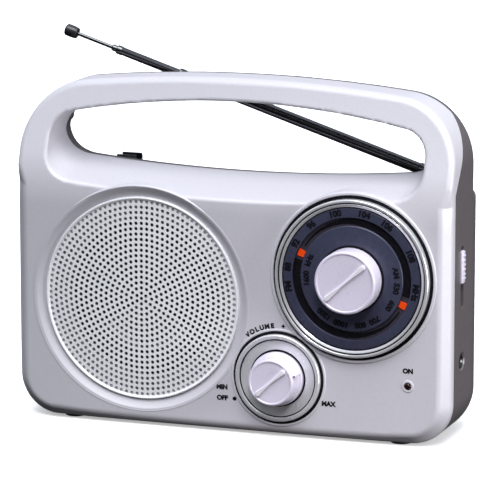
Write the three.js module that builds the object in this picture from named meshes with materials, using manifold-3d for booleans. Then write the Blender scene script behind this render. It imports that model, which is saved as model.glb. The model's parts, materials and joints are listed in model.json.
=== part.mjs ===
// Portable AM/FM radio with a carry handle: two casing halves, loudspeaker, dial, controls and aerial.
// Millimetres. X runs to the right seen from the front, Y towards the back, Z up.
// The parts are designed with the flat front face at y = 0 and the casing's underside at z = 0.
import * as THREE from "three";
import { mergeVertices } from "three/addons/utils/BufferGeometryUtils.js";
import Module from "manifold-3d";

const wasm = await Module();
wasm.setup();

// ---------- driving dimensions ----------
const HALF_WIDTH = 125;
const TOP = 191.3;
const DEPTH = 70;
const WALL = 2.4;
const GAP = 0.3;
const FOOT_HEIGHT = 1.5;
const FAR = 300;
const ARC_STEPS = 6;
const LARGE_ROUND = 40;
const MEDIUM_ROUND = 28;
const SMALL_ROUND = 12;

const BOTTOM_CORNER_R = 22;
const TOP_CORNER_R = 38;
const TOP_ARC_R = 846;

const FRONT_ROUND = 7;
const REAR_TAPER_START = 40;
const REAR_TAPER = 13;
const BOTTOM_TAPER_SHARE = 0.4;
const RING_DEPTHS = [0, 0.7, 2.5, FRONT_ROUND, REAR_TAPER_START, 49, 57, 63.5, 68, DEPTH];

const CREASE_Z = 134;
const LEAN = THREE.MathUtils.degToRad(20);

const OPENING_HALF = 108;
const OPENING_TOP = 179;
const OPENING_TOP_ARC_R = 500;
const OPENING_TOP_CORNER_R = 15;
const OPENING_BOTTOM_CORNER_R = 14;
const SILL_FRONT_MIDDLE = 128;
const SILL_FRONT_END = 132.7;
const RIDGE_Y = 34;
const RIDGE_RISE = 10.8;
const RIDGE_FALL = 0.17;
const HANDLE_BACK = 47;
const SHELF_Z = 131;

const PARTING_Y = 10;
const PARTING_BEND_Z = 136;
const PARTING_SLOPE = 0.75;
const PARTING_HANDLE_Y = 40;
const PARTING_INNER_HALF = 113;
const PARTING_INNER_Z = 124;

const SPEAKER = { x: -51.1, z: 69.8 };
const GRILLE_R = 55.5;
const GRILLE_RECESS_R = 61.5;
const GRILLE_RECESS_DEPTH = 3.2;
const GRILLE_COLLAR_R = 63.7;
const COLLAR_BACK = 24;

const DIAL = { x: 71.2, z: 89.9 };
const BEZEL_R = 43.7;
const BEZEL_FRONT = -3.8;
const DIAL_COLLAR_R = 47;
const DIAL_PLATE_R = 38.6;
const TUNING_KNOB_R = 17.2;
const TUNING_KNOB_FRONT = -15;

const VOLUME = { x: 29, z: 31.9 };
const VOLUME_RING_R = 24.6;
const VOLUME_KNOB_R = 12.9;
const VOLUME_BASE_R = 14.8;
const VOLUME_KNOB_FRONT = -14;
const RIDGE_HEIGHT = 1;
const RIDGE_ANGLE = THREE.MathUtils.degToRad(42);
const SHAFT_R = 3;

const LED = { x: 102.3, z: 32.7, r: 1.8 };
const SWITCH = { y: 24, slotLow: 71.5, slotHigh: 106.5, leverLow: 86, leverHigh: 104, halfSlot: 2.75 };
const JACK = { y: 25, z: 43, r: 4 };

const SCREWS = [
  { name: "lower_left", x: -104, z: 16, handle: false },
  { name: "lower_right", x: 104, z: 16, handle: false },
  { name: "upper_left", x: -104, z: 112, handle: false },
  { name: "upper_right", x: 104, z: 112, handle: false },
  { name: "handle_left", x: -113, z: 163, handle: true },
  { name: "handle_right", x: 113, z: 163, handle: true },
];

const BAY = { x0: -8, x1: 96, z0: 7.5, z1: 60.5, y0: 41, wall: 1.8 };
const CELL_R = 13.1;
const DOOR_THICKNESS = 2.2;

const MAINS_PIN_R = 1.15;
const INLET = { x: -88, z: 84, halfWidth: 11, halfHeight: 7, front: 54, pinOffset: 4.3 };

const SWIVEL_R = 4.5;
const AERIAL = { x: 103, y: 53, z: 138.3, rise: THREE.MathUtils.degToRad(18) };
const AERIAL_TUBES = [
  { name: "aerial_tube_1", from: 12, to: 158.7, outer: 3.1, inner: 2.6 },
  { name: "aerial_tube_2", from: 50, to: 197.5, outer: 2.3, inner: 1.85 },
  { name: "aerial_tube_3", from: 55, to: 200.5, outer: 1.6, inner: 1.3 },
];
const AERIAL_ROD = { from: 82, to: 223.4, r: 1.05 };
const AERIAL_TIP = { from: 222.2, to: 229.6, r: 3.4 };
const CLIP_X = [-83.6, -71.9];

// ---------- materials ----------
function material(color, roughness, metalness) {
  return () => new THREE.MeshStandardMaterial({ color, roughness, metalness });
}

const silverPlastic = material(0xbdbcc4, 0.42, 0.25);
const greyPlastic = material(0x6e6a70, 0.5, 0.1);
const blackPlastic = material(0x17171a, 0.45, 0);
const silverMetal = material(0xd2d2d6, 0.35, 0.85);
const chrome = material(0xe6e6ea, 0.12, 1);
const dialPaint = material(0x3c3e55, 0.4, 0);
const knobPlastic = material(0xd0cede, 0.3, 0.4);
const ledPlastic = material(0x2a0a0a, 0.2, 0);
const steel = material(0xa8a8ac, 0.35, 1);
const brass = material(0xb99a50, 0.35, 1);
const paperCone = material(0x2b2a28, 0.9, 0);
const ferrite = material(0x3a3a3c, 0.6, 0.1);
const boardGreen = material(0x2f5a3c, 0.6, 0);
const copperCoil = material(0xb06a3a, 0.5, 0.4);
const rubber = material(0x1b1b1b, 0.9, 0);

// ---------- making and combining solids ----------
// Shared corners merged, zero-area triangles dropped, and faces turned outwards.
function closed(source) {
  const bare = source.clone();
  bare.deleteAttribute("normal");
  bare.deleteAttribute("uv");
  const merged = mergeVertices(bare, 1e-4);
  const index = merged.index.array;
  const at = merged.attributes.position;
  const corners = [new THREE.Vector3(), new THREE.Vector3(), new THREE.Vector3()];
  const kept = [];
  let volume = 0;
  for (let i = 0; i < index.length; i += 3) {
    const [a, b, c] = [index[i], index[i + 1], index[i + 2]];
    if (a === b || b === c || c === a) continue;
    kept.push(a, b, c);
    [a, b, c].forEach((vertex, k) => corners[k].fromBufferAttribute(at, vertex));
    volume += corners[0].dot(corners[1].cross(corners[2]));
  }
  merged.setIndex(volume < 0 ? kept.reverse() : kept);
  return merged;
}

function toManifold(geometry) {
  const merged = closed(geometry);
  const vertProperties = Float32Array.from(merged.attributes.position.array);
  const triVerts = Uint32Array.from(merged.index.array);
  return new wasm.Manifold(new wasm.Mesh({ numProp: 3, vertProperties, triVerts }));
}

function toGeometry(manifold) {
  const mesh = manifold.getMesh();
  const geometry = new THREE.BufferGeometry();
  geometry.setAttribute("position", new THREE.BufferAttribute(mesh.vertProperties, 3));
  geometry.setIndex(Array.from(mesh.triVerts));
  return geometry;
}

function joined(first, ...others) {
  return toGeometry(others.reduce((sum, next) => sum.add(toManifold(next)), toManifold(first)));
}

function cut(first, ...others) {
  return toGeometry(others.reduce((rest, next) => rest.subtract(toManifold(next)), toManifold(first)));
}

function common(first, second) {
  return toGeometry(toManifold(first).intersect(toManifold(second)));
}

function block([x0, x1], [y0, y1], [z0, z1]) {
  const box = new THREE.BoxGeometry(x1 - x0, y1 - y0, z1 - z0);
  return box.translate((x0 + x1) / 2, (y0 + y1) / 2, (z0 + z1) / 2);
}

// A shape drawn in X and Z, running along Y.
function alongY(shape, y0, y1, steps = 1) {
  const options = { depth: y1 - y0, bevelEnabled: false, steps, curveSegments: ARC_STEPS };
  return new THREE.ExtrudeGeometry(shape, options).translate(0, 0, -y1).rotateX(Math.PI / 2);
}

// A polygon of [y, z] points, running along X.
function alongX(points, x0, x1) {
  const shape = new THREE.Shape(points.map(([y, z]) => new THREE.Vector2(y, z)));
  const solid = new THREE.ExtrudeGeometry(shape, { depth: x1 - x0, bevelEnabled: false });
  const turn = new THREE.Matrix4().set(0, 0, 1, x0, 1, 0, 0, 0, 0, 1, 0, 0, 0, 0, 0, 1);
  return solid.applyMatrix4(turn);
}

// A profile of [radius, y] points turned about Y. Profiles start and end on the axis or close up.
function turned(profile, segments = MEDIUM_ROUND) {
  const points = profile.map(([r, y]) => new THREE.Vector2(r, y));
  const onAxis = profile[0][0] === 0 && profile[profile.length - 1][0] === 0;
  if (!onAxis) points.push(points[0].clone());
  return new THREE.LatheGeometry(points, segments);
}

function turnedAt(place, profile, segments) {
  return turned(profile, segments).translate(place.x, 0, place.z);
}

function rod(r, y0, y1) {
  return [[0, y0], [r, y0], [r, y1], [0, y1]];
}

// Small round parts along X, through a place in Y and Z, and along Z, through a place in X and Y.
function acrossX(profile, place) {
  return turned(profile, SMALL_ROUND).rotateZ(-Math.PI / 2).translate(0, place.y, place.z);
}

function upright(profile, place) {
  return turned(profile, SMALL_ROUND).rotateX(Math.PI / 2).translate(place.x, place.y, 0);
}

// ---------- the casing's form ----------
// The front outline, moved inwards by inset: straight sides, round corners and a shallow arc on top.
function outline(inset) {
  const topCentre = TOP - TOP_ARC_R;
  const cornerX = HALF_WIDTH - TOP_CORNER_R;
  const cornerZ = topCentre + Math.sqrt((TOP_ARC_R - TOP_CORNER_R) ** 2 - cornerX ** 2);
  const join = Math.atan2(cornerZ - topCentre, cornerX);
  const lowX = HALF_WIDTH - BOTTOM_CORNER_R;
  const lowR = BOTTOM_CORNER_R - inset;
  const highR = TOP_CORNER_R - inset;
  const shape = new THREE.Shape();
  shape.moveTo(-lowX, inset);
  shape.lineTo(lowX, inset);
  shape.absarc(lowX, BOTTOM_CORNER_R, lowR, -Math.PI / 2, 0);
  shape.lineTo(HALF_WIDTH - inset, cornerZ);
  shape.absarc(cornerX, cornerZ, highR, 0, join);
  shape.absarc(0, topCentre, TOP_ARC_R - inset, join, Math.PI - join);
  shape.absarc(-cornerX, cornerZ, highR, Math.PI - join, Math.PI);
  shape.lineTo(-HALF_WIDTH + inset, BOTTOM_CORNER_R);
  shape.absarc(-lowX, BOTTOM_CORNER_R, lowR, Math.PI, 1.5 * Math.PI);
  return shape;
}

// How far the outside has drawn in at depth y: a quarter round in front, a soft taper at the back.
function drawnIn(y) {
  if (y < FRONT_ROUND) return FRONT_ROUND - Math.sqrt(FRONT_ROUND ** 2 - (FRONT_ROUND - y) ** 2);
  if (y <= REAR_TAPER_START) return 0;
  const share = Math.min(1, (y - REAR_TAPER_START) / (DEPTH - REAR_TAPER_START));
  return REAR_TAPER * (1 - Math.sqrt(1 - share ** 2));
}

function blank(inset) {
  const steps = RING_DEPTHS.length - 1;
  const solid = alongY(outline(inset), 0, steps, steps);
  const at = solid.attributes.position;
  const middle = TOP / 2;
  for (let i = 0; i < at.count; i += 1) {
    const y = RING_DEPTHS[Math.round(at.getY(i))];
    const z = at.getZ(i);
    const amount = drawnIn(y);
    const share = z < middle && y > REAR_TAPER_START ? BOTTOM_TAPER_SHARE : 1;
    const x = at.getX(i) * (1 - amount / HALF_WIDTH);
    const depth = inset + (y / DEPTH) * (DEPTH - 2 * inset);
    at.setXYZ(i, x, depth, middle + (z - middle) * (1 - (share * amount) / middle));
  }
  return solid;
}

// What the upper front loses by leaning back above the crease.
function leanCut(inset) {
  const crease = CREASE_Z - inset * Math.tan(LEAN / 2);
  const top = TOP + 10;
  const back = inset + (top - crease) * Math.tan(LEAN);
  return alongX([[-FAR, crease], [inset, crease], [back, top], [-FAR, top]], -FAR, FAR);
}

// The handle opening, straight through from front to back, made larger by grow.
function opening(grow) {
  const half = OPENING_HALF + grow;
  const topR = OPENING_TOP_CORNER_R + grow;
  const lowR = OPENING_BOTTOM_CORNER_R + grow;
  const arcR = OPENING_TOP_ARC_R + grow;
  const arcZ = OPENING_TOP - OPENING_TOP_ARC_R;
  const topX = half - topR;
  const topZ = arcZ + Math.sqrt((arcR - topR) ** 2 - topX ** 2);
  const join = Math.atan2(topZ - arcZ, topX);
  const lowX = half - lowR;
  const lowZ = SILL_FRONT_END - grow;
  const shape = new THREE.Shape();
  shape.moveTo(-lowX, lowZ);
  shape.quadraticCurveTo(0, 2 * (SILL_FRONT_MIDDLE - grow) - lowZ, lowX, lowZ);
  shape.absarc(lowX, lowZ + lowR, lowR, -Math.PI / 2, 0);
  shape.lineTo(half, topZ);
  shape.absarc(topX, topZ, topR, 0, join);
  shape.absarc(0, arcZ, arcR, join, Math.PI - join);
  shape.absarc(-topX, topZ, topR, Math.PI - join, Math.PI);
  shape.lineTo(-half, lowZ + lowR);
  shape.absarc(-lowX, lowZ + lowR, lowR, Math.PI, 1.5 * Math.PI);
  return alongY(shape, -20, DEPTH + 20);
}

// The sill under the opening: it slopes up from the front to the ridge, then falls a little to the back.
function sill(lower) {
  const half = OPENING_HALF + lower;
  const r = OPENING_BOTTOM_CORNER_R + lower;
  const x = half - r;
  const z = SILL_FRONT_END - lower;
  const side = HALF_WIDTH - 10;
  const base = 60;
  const shape = new THREE.Shape();
  shape.moveTo(-side, base);
  shape.lineTo(side, base);
  shape.lineTo(side, z + r);
  shape.lineTo(half, z + r);
  shape.absarc(x, z + r, r, 0, -Math.PI / 2, true);
  shape.quadraticCurveTo(0, 2 * (SILL_FRONT_MIDDLE - lower) - z, -x, z);
  shape.absarc(-x, z + r, r, -Math.PI / 2, -Math.PI, true);
  shape.lineTo(-side, z + r);
  const rise = RIDGE_RISE / RIDGE_Y;
  const crest = RIDGE_RISE + RIDGE_FALL * RIDGE_Y;
  const up = new THREE.Matrix4().set(1, 0, 0, 0, 0, 1, 0, 0, 0, rise, 1, 0, 0, 0, 0, 1);
  const down = new THREE.Matrix4().set(1, 0, 0, 0, 0, 1, 0, 0, 0, -RIDGE_FALL, 1, crest, 0, 0, 0, 1);
  const slope = alongY(shape, 0, RIDGE_Y).applyMatrix4(up);
  const back = alongY(shape, RIDGE_Y, HANDLE_BACK).applyMatrix4(down);
  return joined(slope, back);
}

// The space behind the handle and above the rear shelf, with the shelf's sloping back edge.
function rearCut(inset) {
  const back = HANDLE_BACK - inset;
  const shelf = SHELF_Z - inset;
  return alongX([[back, shelf], [62, shelf], [FAR, shelf - 120], [FAR, FAR], [back, FAR]], -FAR, FAR);
}

// The round collars of the grille and the dial stand out of the sloping sill behind their tops.
function body(inset) {
  const pierced = cut(blank(inset), opening(inset));
  const filled = joined(pierced, common(sill(inset), blank(inset)));
  const leaning = cut(filled, leanCut(inset), rearCut(inset));
  return joined(
    leaning,
    turnedAt(SPEAKER, rod(GRILLE_COLLAR_R - inset, inset, COLLAR_BACK), LARGE_ROUND),
    turnedAt(DIAL, rod(DIAL_COLLAR_R - inset, inset, COLLAR_BACK), LARGE_ROUND),
  );
}

// The front half's side of the parting surface, made larger by grow.
function frontSide(grow) {
  const y = PARTING_Y + grow;
  const handleY = PARTING_HANDLE_Y + grow;
  const handleZ = PARTING_BEND_Z + (PARTING_HANDLE_Y - PARTING_Y) / PARTING_SLOPE;
  const top = TOP + 20;
  const profile = [[-FAR, -FAR], [y, -FAR], [y, PARTING_BEND_Z], [handleY, handleZ], [handleY, top], [-FAR, top]];
  const outer = alongX(profile, -FAR, FAR);
  const half = PARTING_INNER_HALF + grow;
  const inner = block([-half, half], [-FAR, RIDGE_Y + grow], [PARTING_INNER_Z - grow, TOP + 10]);
  return joined(outer, inner);
}

const shell = cut(body(0), body(WALL));

// ---------- casing halves ----------
function screwDepths(screw) {
  if (screw.handle) return { bossStart: 14, bossEnd: 34.5, floor: 37, outside: HANDLE_BACK };
  return { bossStart: 1.2, bossEnd: 36.7, floor: 40, outside: DEPTH };
}

function frontShell() {
  const bosses = [];
  const pilots = [];
  for (const screw of SCREWS) {
    const { bossStart, bossEnd } = screwDepths(screw);
    bosses.push(turnedAt(screw, rod(screw.handle ? 3.2 : 4, bossStart, bossEnd), SMALL_ROUND));
    pilots.push(turnedAt(screw, rod(1.65, bossEnd - 14, bossEnd + 1), SMALL_ROUND));
  }
  const seatBack = GRILLE_RECESS_DEPTH + WALL;
  const speakerSeat = turnedAt(SPEAKER, rod(GRILLE_COLLAR_R, 0.5, seatBack), LARGE_ROUND);
  const solid = joined(common(shell, frontSide(0)), speakerSeat, ...bosses);
  const floor = GRILLE_RECESS_DEPTH;
  const rim = GRILLE_RECESS_R;
  const recess = [[0, -1], [rim + 0.3, -1], [rim, 0], [GRILLE_R + 0.5, floor], [0, floor]];
  return cut(
    solid,
    turnedAt(SPEAKER, recess, LARGE_ROUND),
    turnedAt(SPEAKER, rod(52.5, -1, 10), LARGE_ROUND),
    turnedAt(DIAL, rod(37.5, -1, 10), LARGE_ROUND),
    turnedAt(VOLUME, rod(5.4, -1, 10), SMALL_ROUND),
    turnedAt(LED, rod(LED.r + GAP, -1, 10), SMALL_ROUND),
    ...pilots,
  );
}

function wellParts(screw) {
  const { floor, outside } = screwDepths(screw);
  const r = screw.handle ? 3.3 : 3.8;
  return {
    tube: turnedAt(screw, rod(r + 1.6, floor - 2.2, outside - 0.5), SMALL_ROUND),
    bore: turnedAt(screw, rod(r, floor, outside + 1), SMALL_ROUND),
    hole: turnedAt(screw, rod(1.7, floor - 4, floor + 1), SMALL_ROUND),
  };
}

function stadium(halfWidth, halfHeight, x, z) {
  const shape = new THREE.Shape();
  shape.absarc(x + halfWidth - halfHeight, z, halfHeight, -Math.PI / 2, Math.PI / 2);
  shape.absarc(x - halfWidth + halfHeight, z, halfHeight, Math.PI / 2, 1.5 * Math.PI);
  return shape;
}

function rearShell() {
  const wells = SCREWS.map(wellParts);
  const bayWalls = block(
    [BAY.x0 - BAY.wall, BAY.x1 + BAY.wall],
    [BAY.y0 - BAY.wall, DEPTH - 0.5],
    [BAY.z0 - BAY.wall, BAY.z1 + BAY.wall],
  );
  const bay = block([BAY.x0, BAY.x1], [BAY.y0, DEPTH + 1], [BAY.z0, BAY.z1]);
  const inletWidth = INLET.halfWidth + GAP;
  const inletHeight = INLET.halfHeight + GAP;
  const inletHole = block(
    [INLET.x - inletWidth, INLET.x + inletWidth],
    [DEPTH - 10, DEPTH + 1],
    [INLET.z - inletHeight, INLET.z + inletHeight],
  );
  const slot = block(
    [HALF_WIDTH - 6, HALF_WIDTH + 1],
    [SWITCH.y - SWITCH.halfSlot, SWITCH.y + SWITCH.halfSlot],
    [SWITCH.slotLow, SWITCH.slotHigh],
  );
  const jackHole = acrossX(rod(JACK.r + GAP, HALF_WIDTH - 6, HALF_WIDTH + 1), JACK);
  const swivelHole = upright(rod(SWIVEL_R + GAP, SHELF_Z - 6, SHELF_Z + 1), AERIAL);
  const half = cut(shell, frontSide(GAP));
  const solid = joined(half, bayWalls, ...wells.map((well) => well.tube));
  return cut(
    solid,
    bay,
    inletHole,
    slot,
    jackHole,
    swivelHole,
    ...wells.flatMap((well) => [well.bore, well.hole]),
  );
}

function batteryDoor() {
  const panel = block(
    [BAY.x0 + GAP, BAY.x1 - GAP],
    [DEPTH - DOOR_THICKNESS, DEPTH],
    [BAY.z0 + GAP, BAY.z1 - GAP],
  );
  const middle = (BAY.x0 + BAY.x1) / 2;
  const thumb = block([middle - 9, middle + 9], [DEPTH - 1, DEPTH + 5], [BAY.z1 - 6.5, BAY.z1 - 5]);
  const snap = block([middle - 8, middle + 8], [DEPTH - 5.5, DEPTH - 1], [BAY.z1 - 3, BAY.z1 - 1.4]);
  return cut(joined(panel, snap), thumb);
}

// ---------- loudspeaker ----------
const grille = () => turnedAt(SPEAKER, rod(GRILLE_R, 2, 2.9), LARGE_ROUND);

function speakerBasket() {
  const profile = [
    [0, 26.5], [23, 26.5], [44, 7], [44, 6.1], [GRILLE_R, 6.1], [GRILLE_R, 7.8], [46, 7.8],
    [24.5, 28], [0, 28],
  ];
  return turnedAt(SPEAKER, profile, MEDIUM_ROUND);
}

function speakerCone() {
  const profile = [[0, 16.2], [10, 16.2], [42.6, 6.3], [43.2, 6.9], [10.4, 17], [0, 17]];
  return turnedAt(SPEAKER, profile, MEDIUM_ROUND);
}

const speakerMagnet = () => turnedAt(SPEAKER, rod(26, 28 + GAP, 38));

// ---------- dial ----------
function dialBezel() {
  const profile = [
    [36.5, -0.3], [BEZEL_R, -0.3], [BEZEL_R, -2.2], [BEZEL_R - 1.2, BEZEL_FRONT], [38.9, BEZEL_FRONT],
    [38.9, -1.5], [36.5, -1.5],
  ];
  return turnedAt(DIAL, profile, LARGE_ROUND);
}

function dialPlate() {
  return turnedAt(DIAL, [[5, -3], [DIAL_PLATE_R, -3], [DIAL_PLATE_R, -1.8], [5, -1.8]], LARGE_ROUND);
}

// The disc turns with the tuning shaft behind the dial plate; its short hub grips the shaft.
function pointerDisc() {
  const bore = SHAFT_R + GAP;
  const profile = [[bore, -1.4], [35.9, -1.4], [35.9, 0], [6, 0], [6, 3], [bore, 3]];
  return turnedAt(DIAL, profile, LARGE_ROUND);
}

// A round cap with a straight grip ridge across it, and a blind bore for its shaft at the back.
function knob(place, profile, front, capR) {
  const ridge = block([-capR + 2, capR - 2], [front - RIDGE_HEIGHT, front + 1], [-1.6, 1.6])
    .rotateY(-RIDGE_ANGLE)
    .translate(place.x, 0, place.z);
  const solid = joined(turnedAt(place, profile), ridge);
  return cut(solid, turnedAt(place, rod(SHAFT_R + GAP, front + 3, 10), SMALL_ROUND));
}

function tuningKnob() {
  const back = -3.6;
  const front = TUNING_KNOB_FRONT;
  const profile = [
    [0, front], [TUNING_KNOB_R - 1.2, front], [TUNING_KNOB_R, front + 1.2], [TUNING_KNOB_R, back], [0, back],
  ];
  return knob(DIAL, profile, front, TUNING_KNOB_R);
}

const tuningShaft = () => turnedAt(DIAL, rod(SHAFT_R, TUNING_KNOB_FRONT + 3.4, 19.7), SMALL_ROUND);

function tuningCapacitor() {
  const half = 10;
  const solid = block([DIAL.x - half, DIAL.x + half], [14, 25.7], [DIAL.z - half, DIAL.z + half]);
  return cut(solid, turnedAt(DIAL, rod(SHAFT_R + GAP, 10, 20), SMALL_ROUND));
}

// ---------- volume control ----------
function volumeRing() {
  const r = VOLUME_RING_R;
  const profile = [
    [4.2, -0.3], [r, -0.3], [r, -2], [r - 0.8, -2.8], [r - 2.2, -2.2], [16, -1.2], [4.2, -1.2],
  ];
  return turnedAt(VOLUME, profile, LARGE_ROUND);
}

function volumeKnob() {
  const back = -1.8;
  const front = VOLUME_KNOB_FRONT;
  const profile = [
    [0, front], [VOLUME_KNOB_R - 1, front], [VOLUME_KNOB_R, front + 1], [VOLUME_KNOB_R + 0.4, -5],
    [VOLUME_BASE_R, -4], [VOLUME_BASE_R, back], [0, back],
  ];
  return knob(VOLUME, profile, front, VOLUME_KNOB_R);
}

const volumeShaft = () => turnedAt(VOLUME, rod(SHAFT_R, VOLUME_KNOB_FRONT + 3.4, 15.7), SMALL_ROUND);

function volumePotentiometer() {
  const bore = SHAFT_R + GAP;
  const profile = [[0, 16], [bore, 16], [bore, 0.3], [5, 0.3], [5, 8], [8.5, 8], [8.5, 18], [0, 18]];
  return turnedAt(VOLUME, profile, SMALL_ROUND);
}

// ---------- side controls and indicator ----------
const powerLed = () => turnedAt(LED, [[0, -0.7], [1.2, -0.4], [LED.r, 0.4], [LED.r, 6], [0, 6]], SMALL_ROUND);

function bandSwitchLever() {
  const { y, leverLow, leverHigh, halfSlot } = SWITCH;
  const halfLever = halfSlot - GAP;
  const reach = [HALF_WIDTH - 3.5, HALF_WIDTH + 1.5];
  const grip = block(reach, [y - halfLever, y + halfLever], [leverLow, leverHigh]);
  const flange = block([119.6, 122.2], [y - 4.5, y + 4.5], [leverLow - 1.5, leverHigh + 1.5]);
  return joined(grip, flange);
}

const bandSwitchBody = () => block([108, 119.3], [18, 30], [74, 100]);

function headphoneJack() {
  const barrel = acrossX(rod(JACK.r, 112, HALF_WIDTH), JACK);
  const bore = acrossX(rod(1.8, 109, HALF_WIDTH + 1), JACK);
  const frame = block([108, 120], [JACK.y - 5, JACK.y + 5], [JACK.z - 5, JACK.z + 5]);
  return cut(joined(barrel, frame), bore);
}

// ---------- electronics ----------
const mainBoard = () => block([14, 97], [26, 27.6], [64, 120]);

const ROD = { x0: -8, x1: 92, y: 36, z: 112, r: 5 };

const ferriteRod = () => acrossX(rod(ROD.r, ROD.x0, ROD.x1), ROD);

const ferriteCoil = () => acrossX([[ROD.r + GAP, 40], [6.9, 40], [6.9, 62], [ROD.r + GAP, 62]], ROD);

function ferriteHolder(x) {
  const post = block([x - 2, x + 2], [27.6 + GAP, ROD.y + 7], [ROD.z - 7, ROD.z + 7]);
  return cut(post, acrossX(rod(ROD.r + GAP, x - 5, x + 5), ROD));
}

function mainsTransformer() {
  const core = block([-96, -60], [32, 60], [8, 38]);
  const winding = block([-90, -66], [27, 65], [11, 35]);
  return joined(core, winding);
}

function mainsInlet() {
  const { x, z, halfWidth, halfHeight, front, pinOffset } = INLET;
  const housing = block([x - halfWidth, x + halfWidth], [front, DEPTH], [z - halfHeight, z + halfHeight]);
  const socket = alongY(stadium(8.2, 4.4, x, z), front + 4, DEPTH + 1);
  const bores = [-pinOffset, pinOffset].map((offset) => {
    return turned(rod(MAINS_PIN_R + GAP, front - 1, front + 5), SMALL_ROUND).translate(x + offset, 0, z);
  });
  return cut(housing, socket, ...bores);
}

function mainsPin(side) {
  const r = MAINS_PIN_R;
  const profile = [[0, 51], [r, 51], [r, 65], [r / 2, 66], [0, 66]];
  return turned(profile, SMALL_ROUND).translate(INLET.x + side * INLET.pinOffset, 0, INLET.z);
}

// ---------- battery contacts ----------
const BATTERY_Y = BAY.y0 + CELL_R;
const ROWS_Z = [BAY.z0 + CELL_R + 0.2, BAY.z1 - CELL_R - 0.2];

function contactPlate(x0, z) {
  return block([x0, x0 + 0.6], [BATTERY_Y - 7, BATTERY_Y + 7], [z - 8, z + 8]);
}

function contactSpring(x0, direction, z) {
  const turns = 2.5;
  const pitch = 1.3;
  const points = [];
  for (let i = 0; i <= turns * SMALL_ROUND; i += 1) {
    const turn = i / SMALL_ROUND;
    const angle = turn * 2 * Math.PI;
    const r = 6.5 - 0.8 * turn;
    points.push(new THREE.Vector3(turn * pitch * direction, r * Math.cos(angle), r * Math.sin(angle)));
  }
  const wire = new THREE.Shape();
  wire.absarc(0, 0, 0.4, 0, 2 * Math.PI);
  const extrudePath = new THREE.CatmullRomCurve3(points);
  const options = { extrudePath, steps: 26, bevelEnabled: false, curveSegments: 3 };
  return new THREE.ExtrudeGeometry(wire, options).translate(x0, BATTERY_Y, z);
}

// ---------- feet and screws ----------
function foot(x, y, top) {
  const low = -FOOT_HEIGHT;
  return upright([[0, low], [5.4, low], [6, low + 0.5], [6, top], [0, top]], { x, y });
}

function casingScrew(screw) {
  const { floor } = screwDepths(screw);
  const tip = floor - 14;
  const seat = floor + GAP;
  const top = seat + 2.2;
  const profile = [[0, tip], [0.4, tip], [1.35, tip + 1.5], [1.35, seat], [2.8, seat], [2.8, top], [0, top]];
  return turnedAt(screw, profile, SMALL_ROUND);
}

// ---------- aerial ----------
function aerialSwivel() {
  const seat = SHELF_Z + GAP;
  const top = SHELF_Z + 1.6;
  const stem = upright(
    [[0, 124.5], [SWIVEL_R, 124.5], [SWIVEL_R, SHELF_Z], [6, seat], [6, top], [0, top]],
    AERIAL,
  );
  const cheeks = [-1, 1].map((side) => {
    const centre = AERIAL.y + side * 3;
    return block([AERIAL.x - 4, AERIAL.x + 4], [centre - 1, centre + 1], [132, AERIAL.z + 4]);
  });
  const pinHole = turned(rod(1.4, AERIAL.y - 6, AERIAL.y + 6), SMALL_ROUND).translate(AERIAL.x, 0, AERIAL.z);
  return cut(joined(stem, ...cheeks), pinHole);
}

function retainingRing() {
  const inner = SWIVEL_R + GAP;
  return upright([[inner, 126], [7, 126], [7, 127.4], [inner, 127.4]], AERIAL);
}

function pivotPin() {
  const y = AERIAL.y;
  const profile = [[0, y - 5], [2.2, y - 5], [2.2, y - 4.3], [1.1, y - 4.3], [1.1, y + 4.6], [0, y + 4.6]];
  return turned(profile, SMALL_ROUND).translate(AERIAL.x, 0, AERIAL.z);
}

// Aerial parts are turned along -X from the pivot; their group raises them.
function alongAerial(profile) {
  return turned(profile, SMALL_ROUND).rotateZ(Math.PI / 2);
}

function aerialKnuckle() {
  const eye = turned(rod(4, -1.7, 1.7), SMALL_ROUND);
  const blade = block([-9, 0], [-1.7, 1.7], [-2.6, 2.6]);
  const collar = alongAerial([[0, 7], [3.6, 7.6], [3.6, 11.7], [0, 11.7]]);
  return cut(joined(eye, blade, collar), turned(rod(1.4, -3, 3), SMALL_ROUND));
}

function aerialTube({ from, to, outer, inner }) {
  const end = 2;
  return alongAerial([
    [0, from], [outer, from], [outer, to], [inner, to], [inner, from + end], [0, from + end],
  ]);
}

const aerialRod = () => alongAerial(rod(AERIAL_ROD.r, AERIAL_ROD.from, AERIAL_ROD.to));

function aerialTip() {
  const { from, to, r } = AERIAL_TIP;
  const bore = AERIAL_ROD.r + GAP;
  const floor = AERIAL_ROD.to + GAP;
  const profile = [[0, floor], [bore, floor], [bore, from], [r, from], [r, to - 1.5], [r - 1.5, to], [0, to]];
  return alongAerial(profile);
}

function aerialClip() {
  const [x0, x1] = CLIP_X;
  const half = 5.7;
  const foot0 = SHELF_Z + GAP;
  const hump = alongX([
    [AERIAL.y - half, foot0], [AERIAL.y + half, foot0], [AERIAL.y + half, 139.5], [AERIAL.y + 4.6, 140.8],
    [AERIAL.y - 4.6, 140.8], [AERIAL.y - half, 139.5],
  ], x0, x1);
  const channelR = 3.8;
  const groove = acrossX(rod(channelR, x0 - 1, x1 + 1), AERIAL);
  const mouth = block([x0 - 1, x1 + 1], [AERIAL.y - 3.4, AERIAL.y + 3.4], [AERIAL.z, AERIAL.z + 5]);
  return cut(hump, groove, mouth);
}

// ---------- assembly ----------
const radio = new THREE.Group();
const aerial = new THREE.Group();

function addTo(group, name, geometry, look) {
  const mesh = new THREE.Mesh(closed(geometry), look());
  mesh.name = name;
  group.add(mesh);
}

addTo(radio, "front_shell", frontShell(), silverPlastic);
addTo(radio, "rear_shell", rearShell(), greyPlastic);
addTo(radio, "battery_door", batteryDoor(), greyPlastic);

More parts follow.
